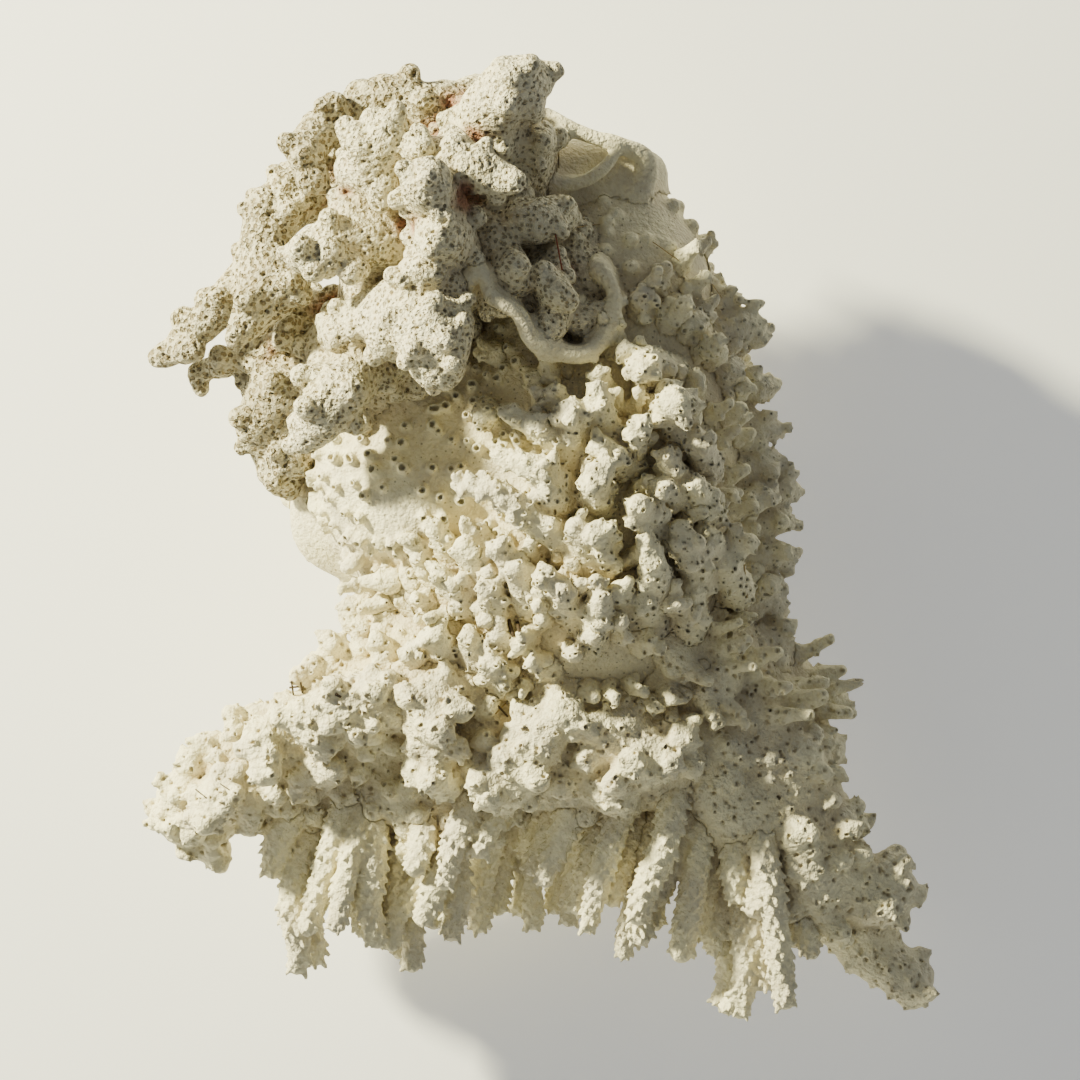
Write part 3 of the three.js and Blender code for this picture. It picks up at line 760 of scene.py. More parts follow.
# Painted shade for the pores of the crown.
NET_PORE_SHADE = (0.20, 0.15, 0.075)
rough_skeleton = coral_material("coral_rough", pale=ROUGH_CREAM, grey=IVORY_GREY, pores_per_metre=950,
                                pore_width=0.38, pore_shade_colour=NET_PORE_SHADE, pore_shade_share=0.6, depth=1.8,
                                pitted=True)


def open_pores(growth, spacing, radius, seed, where=None):
    """Sink round pores of uneven width into the surface, each a short shaft."""
    spots, outward = growth.spots(spacing, seed, where)
    wide = radius * np.random.default_rng(seed).uniform(0.6, 1.15, len(spots))
    growth.carve(spots + 0.3 * outward, spots - 0.7 * outward, wide, 0.7 * wide, blend=0.3)


crown_middle = Growth(slimmed(CROWN_MIDDLE, CROWN_SLIMMING), blend=1.6)
crown_middle.stud(every=4.5, share=0.58, stand=0.70, forward=0.3, blend=0.8, seed=41)
crown_middle.roughen(width=6.0, height=1.8, seed=42)
crown_middle.sprout(*crown_middle.spots(spacing=9.0, seed=45), lengths=(0.2, 0.8), radii=(1.6, 2.5),
                    lean=0.0, blend=0.9, seed=46)
crown_middle.roughen(width=1.3, height=0.6, seed=43)
open_pores(crown_middle, spacing=1.9, radius=0.45, seed=44)
crown_middle.cut_back(fillet=1.5)
crown_middle.settle()
coral_piece("crown_middle", "crown_middle", crown_middle, rough_skeleton)

# The left limb of the crown: it runs over the top and down the left side, and ends in blunt tips.
# Its limestone is an open net of small round pores all over, greyer than the rest, so the net is
# both sunk into the mesh and drawn in its material as painted shade in the pores.
CROWN_LEFT = [
    [[-21, 86.5, 58, 4.2], [-31.5, 86, 62, 4.6], [-39.5, 87.5, 62, 5.2], [-46, 84, 60, 4.4]],
    [[-46, 84, 60, 4.4], [-52.5, 79.5, 64, 5.6], [-54.5, 76, 67, 5.6], [-53.5, 71, 70, 4.4]],
    [
      [-37, 76, 46, 9], [-49, 71.5, 50, 7.5], [-58.5, 67, 57, 5.8], [-64, 58.5, 58, 6.2],
      [-62.5, 50.5, 60, 7.6], [-66.5, 42.5, 63, 3.6],
    ],
    [[-66.5, 53.5, 56, 5.4], [-73.5, 44.5, 54, 4.2], [-82.5, 37.5, 51, 3.3]],
    [[-55, 44, 46, 7], [-62, 39, 48, 6], [-67, 37, 48, 5], [-77, 33.5, 46, 3.9]],
    [[-50, 34, 50, 9], [-61, 28, 48, 9], [-64.5, 22, 45, 5.5]],
    [[-57, 22, 46, 8], [-60.5, 14, 42, 6], [-59.5, 9.5, 40, 3]],
]
CROWN_LEFT_SLIMMING = 0.84
NETTED_CREAM = (0.62, 0.57, 0.42)
NETTED_GREY = (0.46, 0.42, 0.31)
netted_skeleton = coral_material("coral_netted", pale=NETTED_CREAM, grey=NETTED_GREY,
                                 pores_per_metre=880, pore_width=0.47, pore_shade_colour=NET_PORE_SHADE,
                                 pore_shade_share=0.75, depth=1.8, pitted=True)
crown_left = Growth(slimmed(CROWN_LEFT, CROWN_LEFT_SLIMMING), blend=1.2)
crown_left.stud(every=6.5, share=0.6, stand=0.75, forward=0.2, blend=1.0, seed=51)
crown_left.roughen(width=6.5, height=2.4, seed=52)
crown_left.sprout(*crown_left.spots(spacing=8.0, seed=55), lengths=(0.2, 1.0), radii=(1.6, 2.6),
                  lean=0.0, blend=1.0, seed=56)
crown_left.roughen(width=1.5, height=0.5, seed=53)
open_pores(crown_left, spacing=1.7, radius=0.45, seed=54)
crown_left.cut_back(fillet=1.5)
crown_left.settle()
coral_piece("crown_left_limb", "crown_left_limb", crown_left, netted_skeleton)

# The top of the crown: the lump at the very top and the short limbs under it, which reach over
# the trunk's right side. It is the same rough limestone as the crown's middle, and is grown in
# the same way, with smaller lumps.
CROWN_TOP = [
    [
      [-14, 72.5, 54, 12], [-17, 78, 66, 9.5], [-18.5, 82.5, 74, 8], [-14, 87.5, 78, 7.5],
      [-10, 89, 74, 5],
    ],
    [[-13, 72, 60, 8], [-10, 78, 68, 5.5]],
    [[-22.5, 61.5, 66, 8], [-18.5, 58, 72, 6], [-14.5, 51, 76, 5]],
    [[-17, 61.5, 64, 8], [-11, 61.5, 72, 5.5], [-5, 63.5, 66, 5]],
    [[-9, 61, 58, 9], [0, 51, 60, 8]],
    [[-17, 53.5, 70, 6], [-14, 52.5, 80, 4]],
    [[-9, 52.5, 66, 6], [-6, 48, 77, 3.8]],
    [[-6, 47, 62, 6], [-7, 42, 74, 4]],
    [[-2, 47, 60, 6], [-1, 42.5, 68, 4]],
    [
      [-28.5, 47, 66, 5], [-22, 49.5, 71, 3.4], [-17, 46, 72, 3.4], [-11, 46, 70, 3.4],
      [-8.5, 39.5, 67, 3.2], [-0.5, 36.5, 63, 3.2], [5, 43.5, 59, 3.2], [3, 53, 58, 3],
      [-2.5, 55.5, 58, 2.6],
    ],
]
CROWN_TOP_SLIMMING = 0.80
crown_top = Growth(slimmed(CROWN_TOP, CROWN_TOP_SLIMMING), blend=1.2)
crown_top.stud(every=4.5, share=0.52, stand=0.70, forward=0.3, blend=0.8, seed=61)
crown_top.roughen(width=5.5, height=1.6, seed=62)
crown_top.sprout(*crown_top.spots(spacing=8.0, seed=65), lengths=(0.1, 0.6), radii=(1.5, 2.3),
                 lean=0.0, blend=0.9, seed=66)
crown_top.roughen(width=1.4, height=0.5, seed=63)
open_pores(crown_top, spacing=2.4, radius=0.42, seed=64)
crown_top.cut_back(fillet=1.5)
crown_top.settle()
coral_piece("crown_top", "crown_top", crown_top, rough_skeleton)

# The rim of the crown: a thick rolled lip that loops round a hollow below the crown's top. Newer
# limestone closed over a broken edge there, so it is smooth and has hardly a pore. A skirt under
# it closes the gap down to the limbs that it rests on.
CROWN_RIM = [
    [-24.1, 46.6, 77, 1.6], [-22.6, 49.7, 80, 1.6], [-20.1, 51.0, 81, 1.6], [-18.3, 46.9, 80, 1.8],
    [-15.2, 45.0, 80, 1.8], [-12.9, 43.1, 79, 1.6], [-10.9, 38.9, 77, 1.8], [-7.4, 36.8, 75, 2.0],
    [-2.1, 35.9, 73, 2.0], [1.2, 36.9, 72, 1.8], [4.0, 40.3, 70, 1.7], [5.5, 45.2, 69, 1.6],
    [5.1, 49.1, 68, 1.6], [2.8, 53.1, 67, 1.6],
]
RIM_SKIRT = [[x, y + 0.8, z - 3.5, 1.6] for x, y, z, radius in CROWN_RIM]
RIM_SLIMMING = 0.88
finger_skeleton = coral_material("coral_finger", pale=CREAM, grey=IVORY_GREY, pores_per_metre=500,
                                 pore_width=0.12, pore_shade_colour=PORE_SHADE_TAN, pore_shade_share=0.4, depth=1.0)
rim = Growth(slimmed([CROWN_RIM, RIM_SKIRT], RIM_SLIMMING), blend=2.5)
rim.roughen(width=2.5, height=0.5, seed=66)
rim.cut_back(fillet=2.0)
rim.settle()
coral_piece("crown_rim", "crown_top", rim, finger_skeleton)

# The shoulder shell: a small cupped shell on the right shoulder, above the twigs. It is smooth
# limestone with a thin lip round a shallow bowl, and a fold across its lower edge. Lip and fold
# are limbs of their own, and the bowls are carved out.
SHOULDER = [
    [[-5, 71, 48, 11], [4, 71.5, 46, 11], [11, 72, 42, 6.5]],
    [[5.5, 76, 43, 6], [12, 74, 40, 4.6]],
]
SHELL_LIP = [
    [-8.0, 83.4, 56, 1.8], [-4.0, 81.6, 57, 1.7], [2.1, 79.2, 57, 1.6], [7.0, 78.0, 56, 1.8],
    [11.4, 75.8, 54, 2.4], [12.0, 72.4, 53, 2.6], [9.6, 68.6, 53, 2.2],
]
SHELL_FOLD = [[-5.6, 70.0, 58, 1.6], [-0.8, 70.6, 58, 1.5], [3.4, 73.2, 58, 1.4], [6.4, 76.6, 57, 1.4]]
SHELL_BOWLS = [((-6.0, 75.6, 60.5), (0.6, 75.4, 60.0), 4.4), ((8.4, 75.2, 57.5), (9.0, 74.0, 56.5), 1.6)]
SHELL_SLIMMING = 0.84
shoulder = Growth(slimmed(SHOULDER, SHELL_SLIMMING), blend=2.5,
                  more_limbs=[SHELL_LIP, SHELL_FOLD], more_blend=1.8)
shoulder.roughen(width=4.5, height=1.0, seed=71)
for tail, head, radius in SHELL_BOWLS:
    shoulder.carve([tail], [head], radius, radius, blend=1.2, shade_pits=False)
shoulder.roughen(width=1.6, height=0.3, seed=72)
shoulder.cut_back(fillet=2.5)
shoulder.settle()
coral_piece("shoulder_shell", "shoulder_shell", shoulder, finger_skeleton)

# The left arm: it runs down to the left in thick fused lumps, and slender fingers hang from it.
# Arm and fingers are limestone of the same growth. The arm has dimple-like pores, and the fingers
# are covered in scale-like cups that point to their tips, in spiral rows.
LEFT_ARM = [
    [
      [-17, -20, 42, 14], [-33, -30, 42, 14.5], [-49, -38, 40, 13], [-65.5, -46.5, 36, 11],
      [-79, -53, 32, 8.5], [-83.5, -56, 31, 5.5],
    ],
    [[-31, -32, 50, 8], [-47.5, -33, 55, 6.6], [-55, -35, 56, 5], [-51.5, -40.5, 55, 4]],
    [[-59, -40, 46, 6], [-64.5, -39.5, 50, 4.8], [-63.5, -45.5, 52, 3.8]],
    [[-69.5, -49.5, 40, 6], [-72.5, -51, 45, 4.4], [-74.5, -55, 45, 3.8]],
    [[-78.5, -51.5, 36, 7], [-84.5, -55, 36, 3.6], [-87, -57.5, 35, 2.2]],
    [[-75, -56, 30, 7], [-80.5, -60, 28, 5], [-75, -63, 28, 4]],
    [[-62.5, -51.5, 33, 7], [-51.5, -49.5, 34, 9], [-37.5, -49.5, 36, 11], [-23, -51.5, 36, 12]],
    [[-31, -14, 44, 4.4], [-40.5, -9, 42, 2.4]],
    [[-29, -16, 48, 4.4], [-36, -12, 50, 2.6]],
    [[-37, -20, 44, 4.4], [-40.5, -13.5, 46, 2.4]],
    [[-37, -19, 42, 4.4], [-44.5, -13, 42, 2.2]],
    [[-40, -22, 42, 4.4], [-47, -17, 42, 2.3]],
    [[-43, -26, 42, 5], [-49, -22, 42, 3.4]],
    [[-39, -24, 46, 4.4], [-41, -20, 52, 3]],
    [[-47, -30, 42, 5], [-53, -25, 42, 2.5]],
    [[-51, -32, 42, 5], [-55.5, -27.5, 42, 2.3]],
    [[-55, -35, 42, 5], [-60.5, -32.5, 42, 2.6]],
    [[-60.5, -38, 40, 5], [-64.5, -35, 41, 2.4]],
    [[-64.5, -41, 40, 5], [-69.5, -36.5, 41, 3], [-71, -35, 41, 2.2]],
    [[-69.5, -45.5, 38, 5], [-75, -41, 38, 2.6]],
    [[-74.5, -48.5, 36, 5], [-80.5, -44, 36, 2.4]],
]
LEFT_FINGERS = [
    [[-57.5, -52.5, 36, 8], [-61.5, -60, 36, 5.6], [-63, -66.5, 34, 4]],
    [
      [-53.5, -54.5, 33, 7], [-57.5, -65, 33, 5.4], [-59, -74.5, 32, 5.6], [-58, -83.5, 30, 4],
      [-58.5, -87, 29, 2.8],
    ],
    [
      [-42, -46.5, 40, 6], [-48, -53, 41, 4.6], [-51, -62.5, 40, 4.4], [-53.5, -70.5, 38, 4],
      [-56, -78.5, 36, 3],
    ],
    [[-44, -52.5, 40, 5], [-46, -60, 42, 4], [-48, -68, 42, 3.8], [-50, -77.5, 40, 3]],
    [
      [-40, -50.5, 38, 7], [-42, -56.5, 40, 5], [-43, -66.5, 40, 5], [-43.5, -74, 38, 4.4],
      [-42, -81, 36, 3],
    ],
    [[-38.5, -56.5, 34, 6], [-37.5, -69, 34, 4], [-38.5, -77, 34, 4], [-39, -82, 34, 2.6]],
    [[-37.5, -57, 30, 6], [-36.5, -67, 30, 4.4], [-35, -79.5, 30, 4.2], [-35, -86.5, 29, 3]],
    [[-33, -50.5, 40, 7], [-32.5, -60, 44, 4.6], [-34, -65.5, 44, 3.8]],
    [[-26, -52.5, 38, 7], [-27.5, -62.5, 41, 4.8], [-30.5, -70.5, 41, 4.6], [-32.5, -76, 40, 3.4]],
    [[-27, -62.5, 36, 6], [-26, -73, 35, 5.4], [-27, -79.5, 34, 3.4]],
]
ARM_SLIMMING = 0.83
FINGER_SLIMMING = 0.56
SIBLING_ASIDE = (1.8, 3.4)
SIBLING_BEHIND = (3.5, 6.0)
SIBLING_REACH = (0.2, 0.8)
SCALE_SIZES = (0.7, 1.35)
SCALE_RADIUS = 0.60
SCALE_STEP = 0.22
GOLDEN_ANGLE = math.radians(137.5)
arm_skeleton = coral_material("coral_arm", pale=CREAM, grey=IVORY_GREY, pores_per_metre=520,
                              pore_width=0.20, pore_shade_colour=PORE_SHADE_TAN, pore_shade_share=0.3, depth=1.2)


def grow_arm(name, limbs, knob_ground, knob_spacing, knob_radii, lean, seed, twig_ground=None):
    """Grow one arm: its limbs, large soft lumps, stout knobs, twigs, cups and open pores."""
    arm = Growth(slimmed(limbs, ARM_SLIMMING), blend=1.5)
    arm.stud(every=4.2, share=0.5, stand=0.75, forward=0.4, blend=1.0, seed=seed)
    arm.roughen(width=5.5, height=2.2, seed=seed + 1)
    arm.sprout(*arm.spots(knob_spacing, seed + 7, knob_ground), lengths=(0.1, 1.1),
               radii=knob_radii, lean=lean, blend=0.8, seed=seed + 8)
    if twig_ground is not None:
        twigs = np.array(twigs_from(*arm.spots(TWIG_SPACING, seed + 3, twig_ground), seed + 3))
        arm.press(twigs[:, 0, :3], twigs[:, 1, :3], twigs[:, 0, 3], twigs[:, 1, 3], blend=0.7)
    arm.roughen(width=1.5, height=0.45, seed=seed + 2)
    raise_cups(arm, spacing=3.4, radius=0.9, height=0.4, lean=0.2, seed=seed + 9,
               where=towards_camera)
    open_pores(arm, spacing=2.8, radius=0.48, seed=seed + 4)
    arm.cut_back(fillet=1.5)
    arm.settle()
    coral_piece(name, name, arm, arm_skeleton)


def with_siblings(fingers, seed):
    """Each finger and a shorter one behind it, a little nearer to the middle of their row."""
    random = np.random.default_rng(seed)
    family = []
    middle = np.mean([stations[-1][0] for stations in fingers])
    for stations in slimmed(fingers, FINGER_SLIMMING):
        family.append(stations)
        towards_middle = 1 if stations[-1][0] < middle else -1
        aside = towards_middle * random.uniform(*SIBLING_ASIDE)
        rows = np.array(stations) + np.array((aside, 0, -random.uniform(*SIBLING_BEHIND), 0))
        rows[-1, :3] = rows[-2, :3] + random.uniform(*SIBLING_REACH) * (rows[-1, :3] - rows[-2, :3])
        rows[-1, 0] += 0.2 * aside
        family.append(rows.tolist())
    return family


def scale_over(growth, seed):
    """Cover fingers with the scale-like cups that point to their tips, in spiral rows."""
    random = np.random.default_rng(seed)
    turn = 0.0
    tails, heads, sizes = [], [], []
    for middle, run, wide in zip(growth.run_points, growth.runs, growth.run_radii):
        length = np.linalg.norm(run)
        along = run / length
        across = np.cross(along, (0.0, 0.0, 1.0))
        across /= np.linalg.norm(across)
        upward = np.cross(along, across)
        for step in np.arange(-0.5 * length, 0.5 * length, SCALE_STEP):
            turn += GOLDEN_ANGLE
            side = math.cos(turn) * across + math.sin(turn) * upward
            size = random.uniform(*SCALE_SIZES)
            if side[2] < FACES_AWAY and random.uniform() > HIDDEN_SHARE:
                continue
            root = middle + step * along + 0.7 * wide * side
            tails.append(root)
            heads.append(root + size * ((0.3 * wide + 0.35) * side + 1.4 * along))
            sizes.append(size * SCALE_RADIUS)
    sizes = np.array(sizes)
    growth.press(tails, heads, sizes, 0.6 * sizes, blend=0.4)


def grow_fingers(name, node, limbs, seed):
    """Grow the fingers that hang from one arm, with their scales."""
    fingers = Growth(with_siblings(limbs, seed + 5), blend=0.5)
    scale_over(fingers, seed + 6)
    fingers.cut_back(fillet=0.8)
    fingers.settle()
    coral_piece(name, node, fingers, finger_skeleton)


grow_arm("left_arm", LEFT_ARM, knob_ground=towards_camera, knob_spacing=5.6, knob_radii=(1.6, 2.5),
         lean=(-0.3, 0.5, 0.0), seed=80)
grow_fingers("left_fingers", "left_arm", LEFT_FINGERS, seed=80)

# The right arm: it runs down to the right, with a row of knobs along its right edge and a forked
# tip, and it carries the longest fingers. It grew as the left arm did.
RIGHT_ARM = [
    [
      [13, -12, 40, 16], [28.5, -30, 38, 15], [38.5, -46.5, 36, 14], [46, -63, 33, 11.5],
      [55, -71, 31, 9], [61, -72, 30, 7],
    ],
    [[56, -70, 31, 8.5], [63.5, -71, 32, 5.4]],
    [[52, -73.5, 27, 8], [59.5, -84, 24, 6.6], [66.5, -91, 23, 5.6]],
    [[45.5, -68.5, 36, 8], [48.5, -76, 34, 5]],
    [[48, -73.5, 28, 8], [54.5, -83, 25, 5]],
    [[35.5, -38.5, 34, 11], [43.5, -40, 34, 7], [49.5, -42, 34, 4]],
    [[35.5, -30.5, 34, 10], [42.5, -31.5, 34, 4.5], [48, -32.5, 34, 2.8]],
    [[33.5, -26.5, 32, 10], [40.5, -27, 33, 4.4], [44.5, -27.5, 33, 2.2]],
    [[39.5, -50.5, 34, 9], [46.5, -51, 33, 4.4], [49, -52, 33, 3]],
    [[47, -59, 32, 9], [52.5, -57, 32, 4.4], [53.5, -55, 32, 2.8]],
    [[35, -41, 42, 8], [36.5, -48, 45, 3.4]],
    [[19, -40, 40, 13], [31.5, -52.5, 38, 13], [42.5, -61.5, 35, 9]],
    [[19, -26, 40, 12], [22, -34, 44, 7.4], [24, -43, 44, 4.6]],
    [[23, -24, 44, 8], [26, -24.5, 50, 4.6], [25, -30, 52, 4]],
    [[13, -20, 44, 9], [15, -19.5, 53, 4.8], [18.5, -24, 54, 4.6]],
]
RIGHT_FINGERS = [
    [
      [17.5, -40, 44, 7], [17.5, -52, 48, 4.8], [15.5, -62, 47, 5], [12, -70, 45, 4.8],
      [10.5, -75, 44, 4],
    ],
    [[15, -56.5, 40, 6], [12.5, -68.5, 41, 5], [11, -75, 40, 4.6], [11.5, -80, 40, 3.2]],
    [[13.5, -65, 34, 5], [9, -77, 34, 3.6], [8, -84, 32, 2.2]],
    [
      [25, -44, 40, 8], [23, -56, 42, 4.8], [22.5, -65, 42, 4.8], [21, -75, 40, 4.8],
      [19.5, -83, 38, 4.2],
    ],
    [[29.5, -56.5, 34, 7], [28, -69, 34, 4.2], [27, -78, 34, 4.2], [26.5, -83, 32, 3]],
    [[31.5, -48.5, 38, 9], [30.5, -59, 42, 5], [30, -66, 42, 5], [30.5, -71.5, 41, 3.2]],
    [
      [33.5, -64.5, 36, 6], [32, -74.5, 36, 4.4], [32.5, -84, 36, 4.4], [32.5, -90.5, 34, 4.2],
      [31.5, -95.5, 33, 3],
    ],
    [[32.5, -90.5, 34, 4], [28.5, -95, 33, 2]],
    [
      [37.5, -50.5, 38, 9], [35.5, -59, 44, 5], [36.5, -67, 44, 5], [38.5, -78.5, 42, 4.4],
      [39.5, -87.5, 40, 4.2], [40.5, -93, 39, 3],
    ],
    [[35, -66, 42, 5], [34, -74, 42, 3.6]],
    [[43.5, -63, 34, 8], [43, -72.5, 36, 4.4], [44.5, -79, 36, 4], [46, -83.5, 34, 2.8]],
]
TWIGS_END = -36.0


def right_edge(spots, outward):
    """Whether a spot faces right."""
    return outward[:, 0] > 0.5


def below_waist(spots, outward):
    """Whether a spot is high on the arm, where the trunk's twigs go on over it."""
    return (spots[:, 1] > TWIGS_END) & towards_camera(spots, outward)


grow_arm("right_arm", RIGHT_ARM, knob_ground=right_edge, knob_spacing=6.2, knob_radii=(1.4, 2.1),
         lean=(0.6, -0.1, 0.0), seed=90, twig_ground=below_waist)
grow_fingers("right_fingers", "right_arm", RIGHT_FINGERS, seed=90)

# The lobes in the centre: large soft lumps between the two arms, which lean out over the fingers
# that hang from them. They grew as the arms did, with the stoutest knobs of the three.
CENTRE_LOBES = [
    [
      [-23, -28, 46, 10], [-29, -30, 56, 6], [-31, -34.5, 57, 6.6], [-29.5, -42, 54, 5],
      [-28, -48.5, 52, 3.6],
    ],
    [[-1, -28, 44, 12], [-7, -35.5, 54, 7], [-12.5, -44, 54, 7], [-17, -49.5, 50, 6.4]],
    [[-5, -32, 52, 6], [-5, -34, 60, 3.6]],
    [[5, -28, 42, 14], [7, -38, 48, 10], [6.5, -47, 48, 7.5]],
    [[3, -26, 46, 8], [7.5, -25, 53, 3.6]],
    [[-5, -24, 46, 9], [-7.5, -22, 54, 5.6], [-10.5, -19, 55, 3.6]],
    [[-17, -40, 42, 15], [-1, -42, 42, 16], [13, -41, 42, 16]],
]
CENTRE_FINGERS = [
    [[-17, -46, 46, 7], [-22.5, -52, 47, 5.2], [-26, -60.5, 46, 4.6], [-28, -68.5, 44, 3]],
    [[-15, -48, 46, 7], [-17.5, -53.5, 46, 5], [-21, -62, 46, 3.2]],
    [[-17, -51, 30, 8], [-20, -63.5, 26, 5.8], [-21.5, -71.5, 24, 5], [-21.5, -79, 22, 3.2]],
    [[-10, -46.5, 36, 8], [-11, -57, 32, 4.6], [-10.5, -64.5, 30, 3.6]],
    [[-11, -59.5, 24, 4], [-10.5, -70, 21, 2.6], [-10.5, -75, 20, 3.8], [-10.5, -79, 19, 2.6]],
    [
      [1, -44, 44, 7], [-2.5, -52, 46, 4.8], [-4.5, -59, 44, 4.6], [-7, -64.5, 42, 3.4],
      [-8, -68.5, 41, 2.6],
    ],
    [[1, -53, 30, 7], [-1, -63.5, 25, 4], [-2.5, -72, 22, 3.2], [-3, -78, 21, 2.8]],
    [[9, -48, 44, 8], [6.5, -56.5, 45, 5], [4, -64.5, 44, 4.4], [2, -72, 42, 3.6], [0.5, -78, 41, 1.9]],
    [[11, -52.5, 38, 7], [9, -62.5, 40, 4.2], [6.5, -68.5, 40, 3.8], [5.5, -72.5, 39, 2.8]],
]
grow_arm("centre_lobes", CENTRE_LOBES, knob_ground=towards_camera, knob_spacing=7.4,
         knob_radii=(2.2, 3.3), lean=(0.0, -0.4, 0.0), seed=100)
grow_fingers("centre_fingers", "centre_lobes", CENTRE_FINGERS, seed=100)

# Caught debris: hairs and straws of dry grass and crumbs of dark bark, which lie loose in the
# coral's folds. Each is a thin round thread, laid from spot to spot on top of the coral.
DARK_TWIG = (0.05, 0.03, 0.015)
STRAW = (0.42, 0.30, 0.13)
RED_THREAD = (0.30, 0.10, 0.05)
THREAD_SIDES = 6
coral_columns = np.argwhere((grown < 0).any(axis=2))


def plain_fibre(name, brown):
    """Dry plant fibre, a little paler and darker along its length."""
    material = bpy.data.materials.new(name)
    material.use_nodes = True
    nodes = material.node_tree.nodes
    links = material.node_tree.links
    streaks = nodes.new("ShaderNodeTexNoise")
    streaks.inputs["Scale"].default_value = 1500
    tones = nodes.new("ShaderNodeValToRGB")
    tones.color_ramp.elements[0].color = (*[0.5 * part for part in brown], 1)
    tones.color_ramp.elements[1].color = (*[1.3 * part for part in brown], 1)
    links.new(streaks.outputs["Fac"], tones.inputs["Fac"])
    links.new(tones.outputs["Color"], nodes["Principled BSDF"].inputs["Base Color"])
    nodes["Principled BSDF"].inputs["Roughness"].default_value = 0.7
    return material


def thread(name, route, lift, radius, material):
    """A round thread laid over the coral: its route gives x and y, and the coral its height."""
    stations = []
    for x, y in route:
        wanted = (np.array((x, y)) - lattice_low[:2]) / GRAIN
        column = coral_columns[((coral_columns - wanted)**2).sum(axis=1).argmin()]
        top = np.flatnonzero(grown[column[0], column[1]] < 0).max()
        stations.append([x, y, lattice_low[2] + GRAIN * top + lift, radius])
    points, radii = curve_through(stations)
    rings = []
    for place, point in enumerate(points):
        run = points[min(place + 1, len(points) - 1)] - points[max(place - 1, 0)]
        across = np.cross(run, (0.0, 0.0, 1.0))
        across /= np.linalg.norm(across)
        upward = np.cross(across, run) / np.linalg.norm(run)
        for turn in 2 * math.pi * np.arange(THREAD_SIDES) / THREAD_SIDES:
            rings.append((point + radius * (math.cos(turn) * across + math.sin(turn) * upward)) * MM)
    faces = [[ring * THREAD_SIDES + side, ring * THREAD_SIDES + (side + 1) % THREAD_SIDES,
              (ring + 1) * THREAD_SIDES + (side + 1) % THREAD_SIDES, (ring + 1) * THREAD_SIDES + side]
             for ring in range(len(points) - 1) for side in range(THREAD_SIDES)]
    faces.append(list(range(THREAD_SIDES))[::-1])
    faces.append([len(rings) - THREAD_SIDES + side for side in range(THREAD_SIDES)])
    mesh = bpy.data.meshes.new(name)
    mesh.from_pydata([tuple(ring) for ring in rings], [], faces)
    mesh.shade_smooth()
    mesh.materials.append(material)
    piece = bpy.data.objects.new(name, mesh)
    bpy.context.scene.collection.objects.link(piece)
    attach(piece, "root")


straw = plain_fibre("dry_straw", STRAW)
bark = plain_fibre("dark_bark", DARK_TWIG)
red_fibre = plain_fibre("red_fibre", RED_THREAD)
thread("long_hair", [(-8.0, 59.1), (2.8, 62.1), (10.7, 60.1), (18.6, 54.8)], 0.3, 0.09, straw)
thread("short_hair", [(23.6, 52.0), (27.0, 48.0)], 0.2, 0.09, straw)
thread("flank_straw", [(30.2, 0.0), (31.4, -6.0), (32.0, -11.4)], 0.3, 0.14, straw)
thread("red_thread", [(-6.0, 59.1), (-4.7, 52.2)], 0.2, 0.16, red_fibre)
thread("dome_twig", [(-42.0, -10.0), (-39.5, -12.5)], 0.2, 0.25, bark)
thread("waist_twig", [(-15.2, -15.6), (-14.2, -19.0)], 0.3, 0.40, bark)
thread("waist_chip", [(-13.4, -16.2), (-13.0, -18.2)], 0.2, 0.35, bark)
thread("arm_twig_cross", [(-59.2, -29.6), (-56.2, -29.2)], 0.3, 0.22, bark)
thread("arm_twig_left", [(-58.6, -28.2), (-58.4, -31.0)], 0.4, 0.20, bark)
thread("arm_twig_right", [(-56.8, -28.4), (-56.6, -30.6)], 0.4, 0.20, bark)
thread("arm_chip", [(-49.2, -30.2), (-48.2, -30.8)], 0.1, 0.35, bark)
thread("lobe_twig", [(-18.4, -31.6), (-15.4, -35.0)], 0.3, 0.20, bark)
thread("lobe_twig_short", [(-17.8, -34.4), (-15.8, -32.4)], 0.4, 0.16, straw)
thread("tip_fibre", [(-77.8, -49.8), (-75.4, -51.4)], 0.2, 0.14, bark)
thread("tip_fibre_short", [(-72.8, -48.6), (-70.8, -49.8)], 0.2, 0.12, bark)

# Painted shade in the hollows, and a stain: tan where the coral crowds round a place, for the shade
# and warm bounce light in the folds, and red-brown where dried algae stay in the crown's recesses.
# The coral in each place's surroundings is counted, and each mesh carries what it finds as
# attributes for its material.
CELL = 3
BLUR = 2
RUST_PATCHES = [
    [-46.8, 71.8, 5.0], [-48.0, 69.0, 4.0], [-51.7, 65.0, 4.5], [-52.7, 48.5, 5.0],
    [-30.3, 80.5, 4.5], [-25.5, 86.3, 4.0], [-20.6, 79.5, 4.0], [-23.0, 65.6, 4.0],
    [-34.8, 60.5, 3.5], [-64.3, 38.6, 4.0], [-4.1, 52.3, 2.5],
]
CROWN_HEIGHT = 45
BLUR_ROUNDS = 2
RUST_HOLLOW = 0.45
RUST_FADE = 0.15
width = 2 * BLUR + 1
sides = [side // CELL for side in grown.shape]
filled = (grown[:sides[0] * CELL, :sides[1] * CELL, :sides[2] * CELL] < 0)
filled = filled.reshape(sides[0], CELL, sides[1], CELL, sides[2], CELL).mean(axis=(1, 3, 5))
for _ in range(BLUR_ROUNDS):
    for axis in range(3):
        padding = [(BLUR + 1, BLUR) if side == axis else (0, 0) for side in range(3)]
        total = np.cumsum(np.pad(filled, padding, mode="edge"), axis=axis)
        front = np.take(total, np.arange(width, total.shape[axis]), axis=axis)
        back = np.take(total, np.arange(0, total.shape[axis] - width), axis=axis)
        filled = (front - back) / width
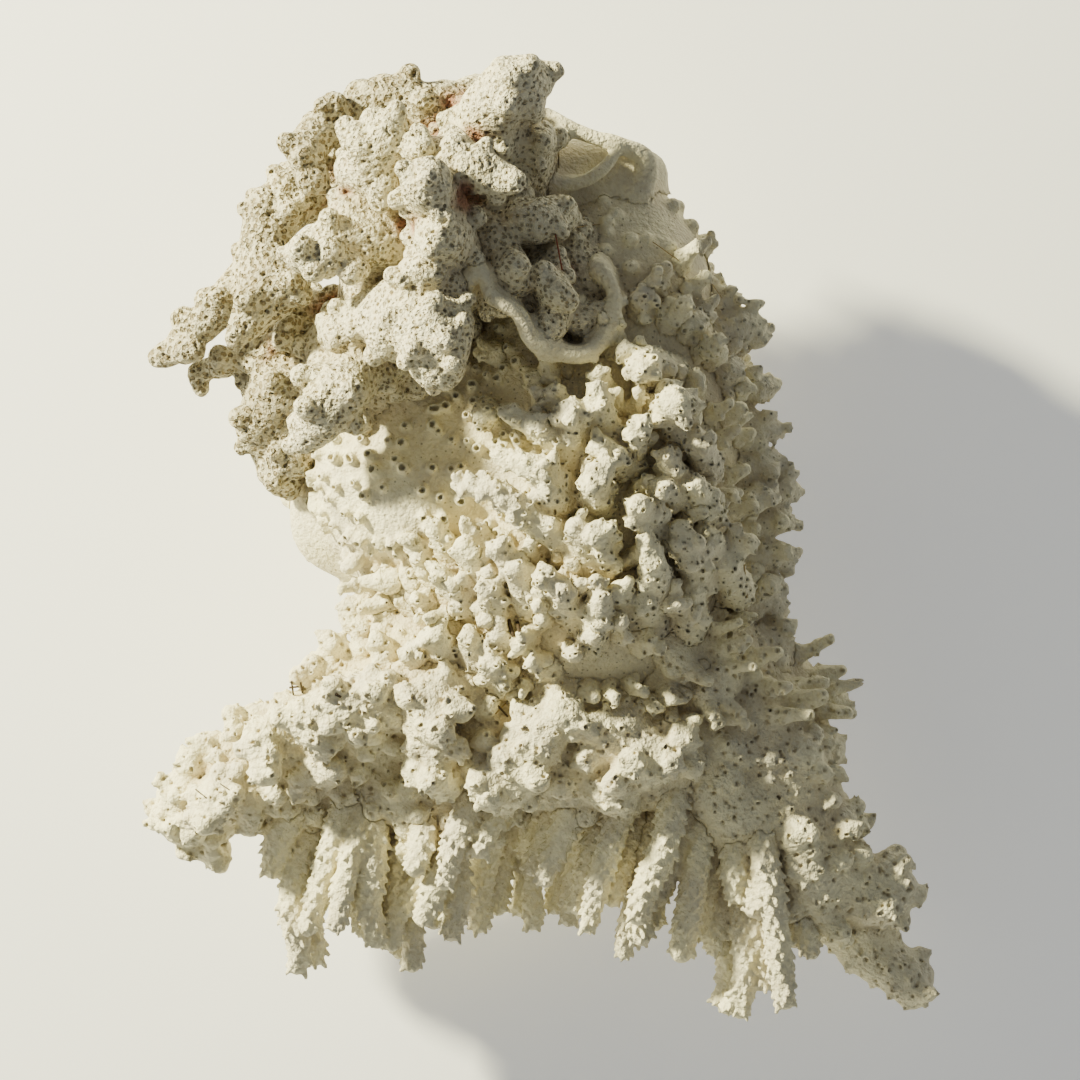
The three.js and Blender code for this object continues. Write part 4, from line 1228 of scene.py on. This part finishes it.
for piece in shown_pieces():
    if piece.type == "MESH" and "pore" in piece.data.attributes:
        points = np.empty(len(piece.data.vertices) * 3)
        piece.data.vertices.foreach_get("co", points)
        points = points.reshape(-1, 3) / MM
        hollow = sample(filled, (points - lattice_low) / (GRAIN * CELL) - 0.5)
        piece.data.attributes.new("hollow", "FLOAT", "POINT").data.foreach_set("value", hollow)
        rust = np.zeros(len(points))
        for x, y, wide in RUST_PATCHES:
            near = 1 - np.hypot(points[:, 0] - x, points[:, 1] - y) / wide
            rust = np.maximum(rust, near * (points[:, 2] > CROWN_HEIGHT))
        rust = np.clip(2 * rust, 0, 1) * np.clip((hollow - RUST_HOLLOW) / RUST_FADE, 0, 1)
        piece.data.attributes.new("rust", "FLOAT", "POINT").data.foreach_set("value", rust)

# The studio: a plain pale floor that glows a little, so that it stays pale in the coral's shadow.
# A small warm key light low on the left grazes the coral as the sun does in the photo, and a
# broad weak one from below left fills the fingers.
FLOOR_SIZE = 3.0
FLOOR_DROP = 0.0002
PALE_FLOOR = (0.9, 0.9, 0.9, 1.0)
WARM_LIGHT = (1.0, 0.95, 0.60)
COOL_SKY = (0.88, 0.95, 1.0, 1.0)
SKY_STRENGTH = 0.22
FLOOR_GLOW = 0.3
bpy.ops.mesh.primitive_plane_add(size=FLOOR_SIZE)
floor = bpy.context.object
floor.name = "floor"
floor.location.z = -FLOOR_DROP
floor_material = bpy.data.materials.new("pale_floor")
floor_material.use_nodes = True
floor_shader = floor_material.node_tree.nodes["Principled BSDF"]
floor_shader.inputs["Base Color"].default_value = PALE_FLOOR
floor_shader.inputs["Roughness"].default_value = 0.9
floor_shader.inputs["Emission Color"].default_value = (1.0, 1.0, 1.0, 1.0)
floor_shader.inputs["Emission Strength"].default_value = FLOOR_GLOW
floor.data.materials.append(floor_material)
floor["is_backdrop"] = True

middle_of_coral = Vector((-0.009, 0, 0.045))


def soft_light(name, direction, distance, size, power):
    """A square lamp that shines at the coral from the given direction."""
    lamp = bpy.data.lights.new(name, "AREA")
    lamp.size = size
    lamp.energy = power
    lamp.color = WARM_LIGHT
    light = bpy.data.objects.new(name, lamp)
    bpy.context.scene.collection.objects.link(light)
    light.location = middle_of_coral + distance * Vector(direction).normalized()
    light.rotation_euler = (middle_of_coral - light.location).to_track_quat("-Z", "Y").to_euler()


soft_light("key_light", direction=(-0.75, 0.46, 0.41), distance=1.0, size=0.08, power=50.0)
soft_light("fill_light", direction=(-0.5, -0.8, 0.6), distance=1.2, size=1.0, power=2.8)
world = bpy.data.worlds.new("studio")
world.use_nodes = True
world.node_tree.nodes["Background"].inputs["Color"].default_value = COOL_SKY
world.node_tree.nodes["Background"].inputs["Strength"].default_value = SKY_STRENGTH
bpy.context.scene.world = world

# The camera: it hangs straight above the coral and looks down on it, as the photo was taken, with
# a long lens, so that the near limbs don't loom. The coral lies in the middle of its square
# picture.
CAMERA_HEIGHT = 0.9
LENS = 150
SENSOR = 36
camera_data = bpy.data.cameras.new("camera")
camera_data.lens = LENS
camera_data.sensor_width = SENSOR
camera = bpy.data.objects.new("camera", camera_data)
camera.location = middle_of_coral + Vector((0, 0, CAMERA_HEIGHT))
bpy.context.scene.collection.objects.link(camera)
bpy.context.scene.camera = camera

# The sizes: the box of the solids and the box of the dressed coral, kept side by side, because
# the second may hardly pass the first.
boxes = [[[float(value) for value in corner] for corner in box] for box in (cad_box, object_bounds())]
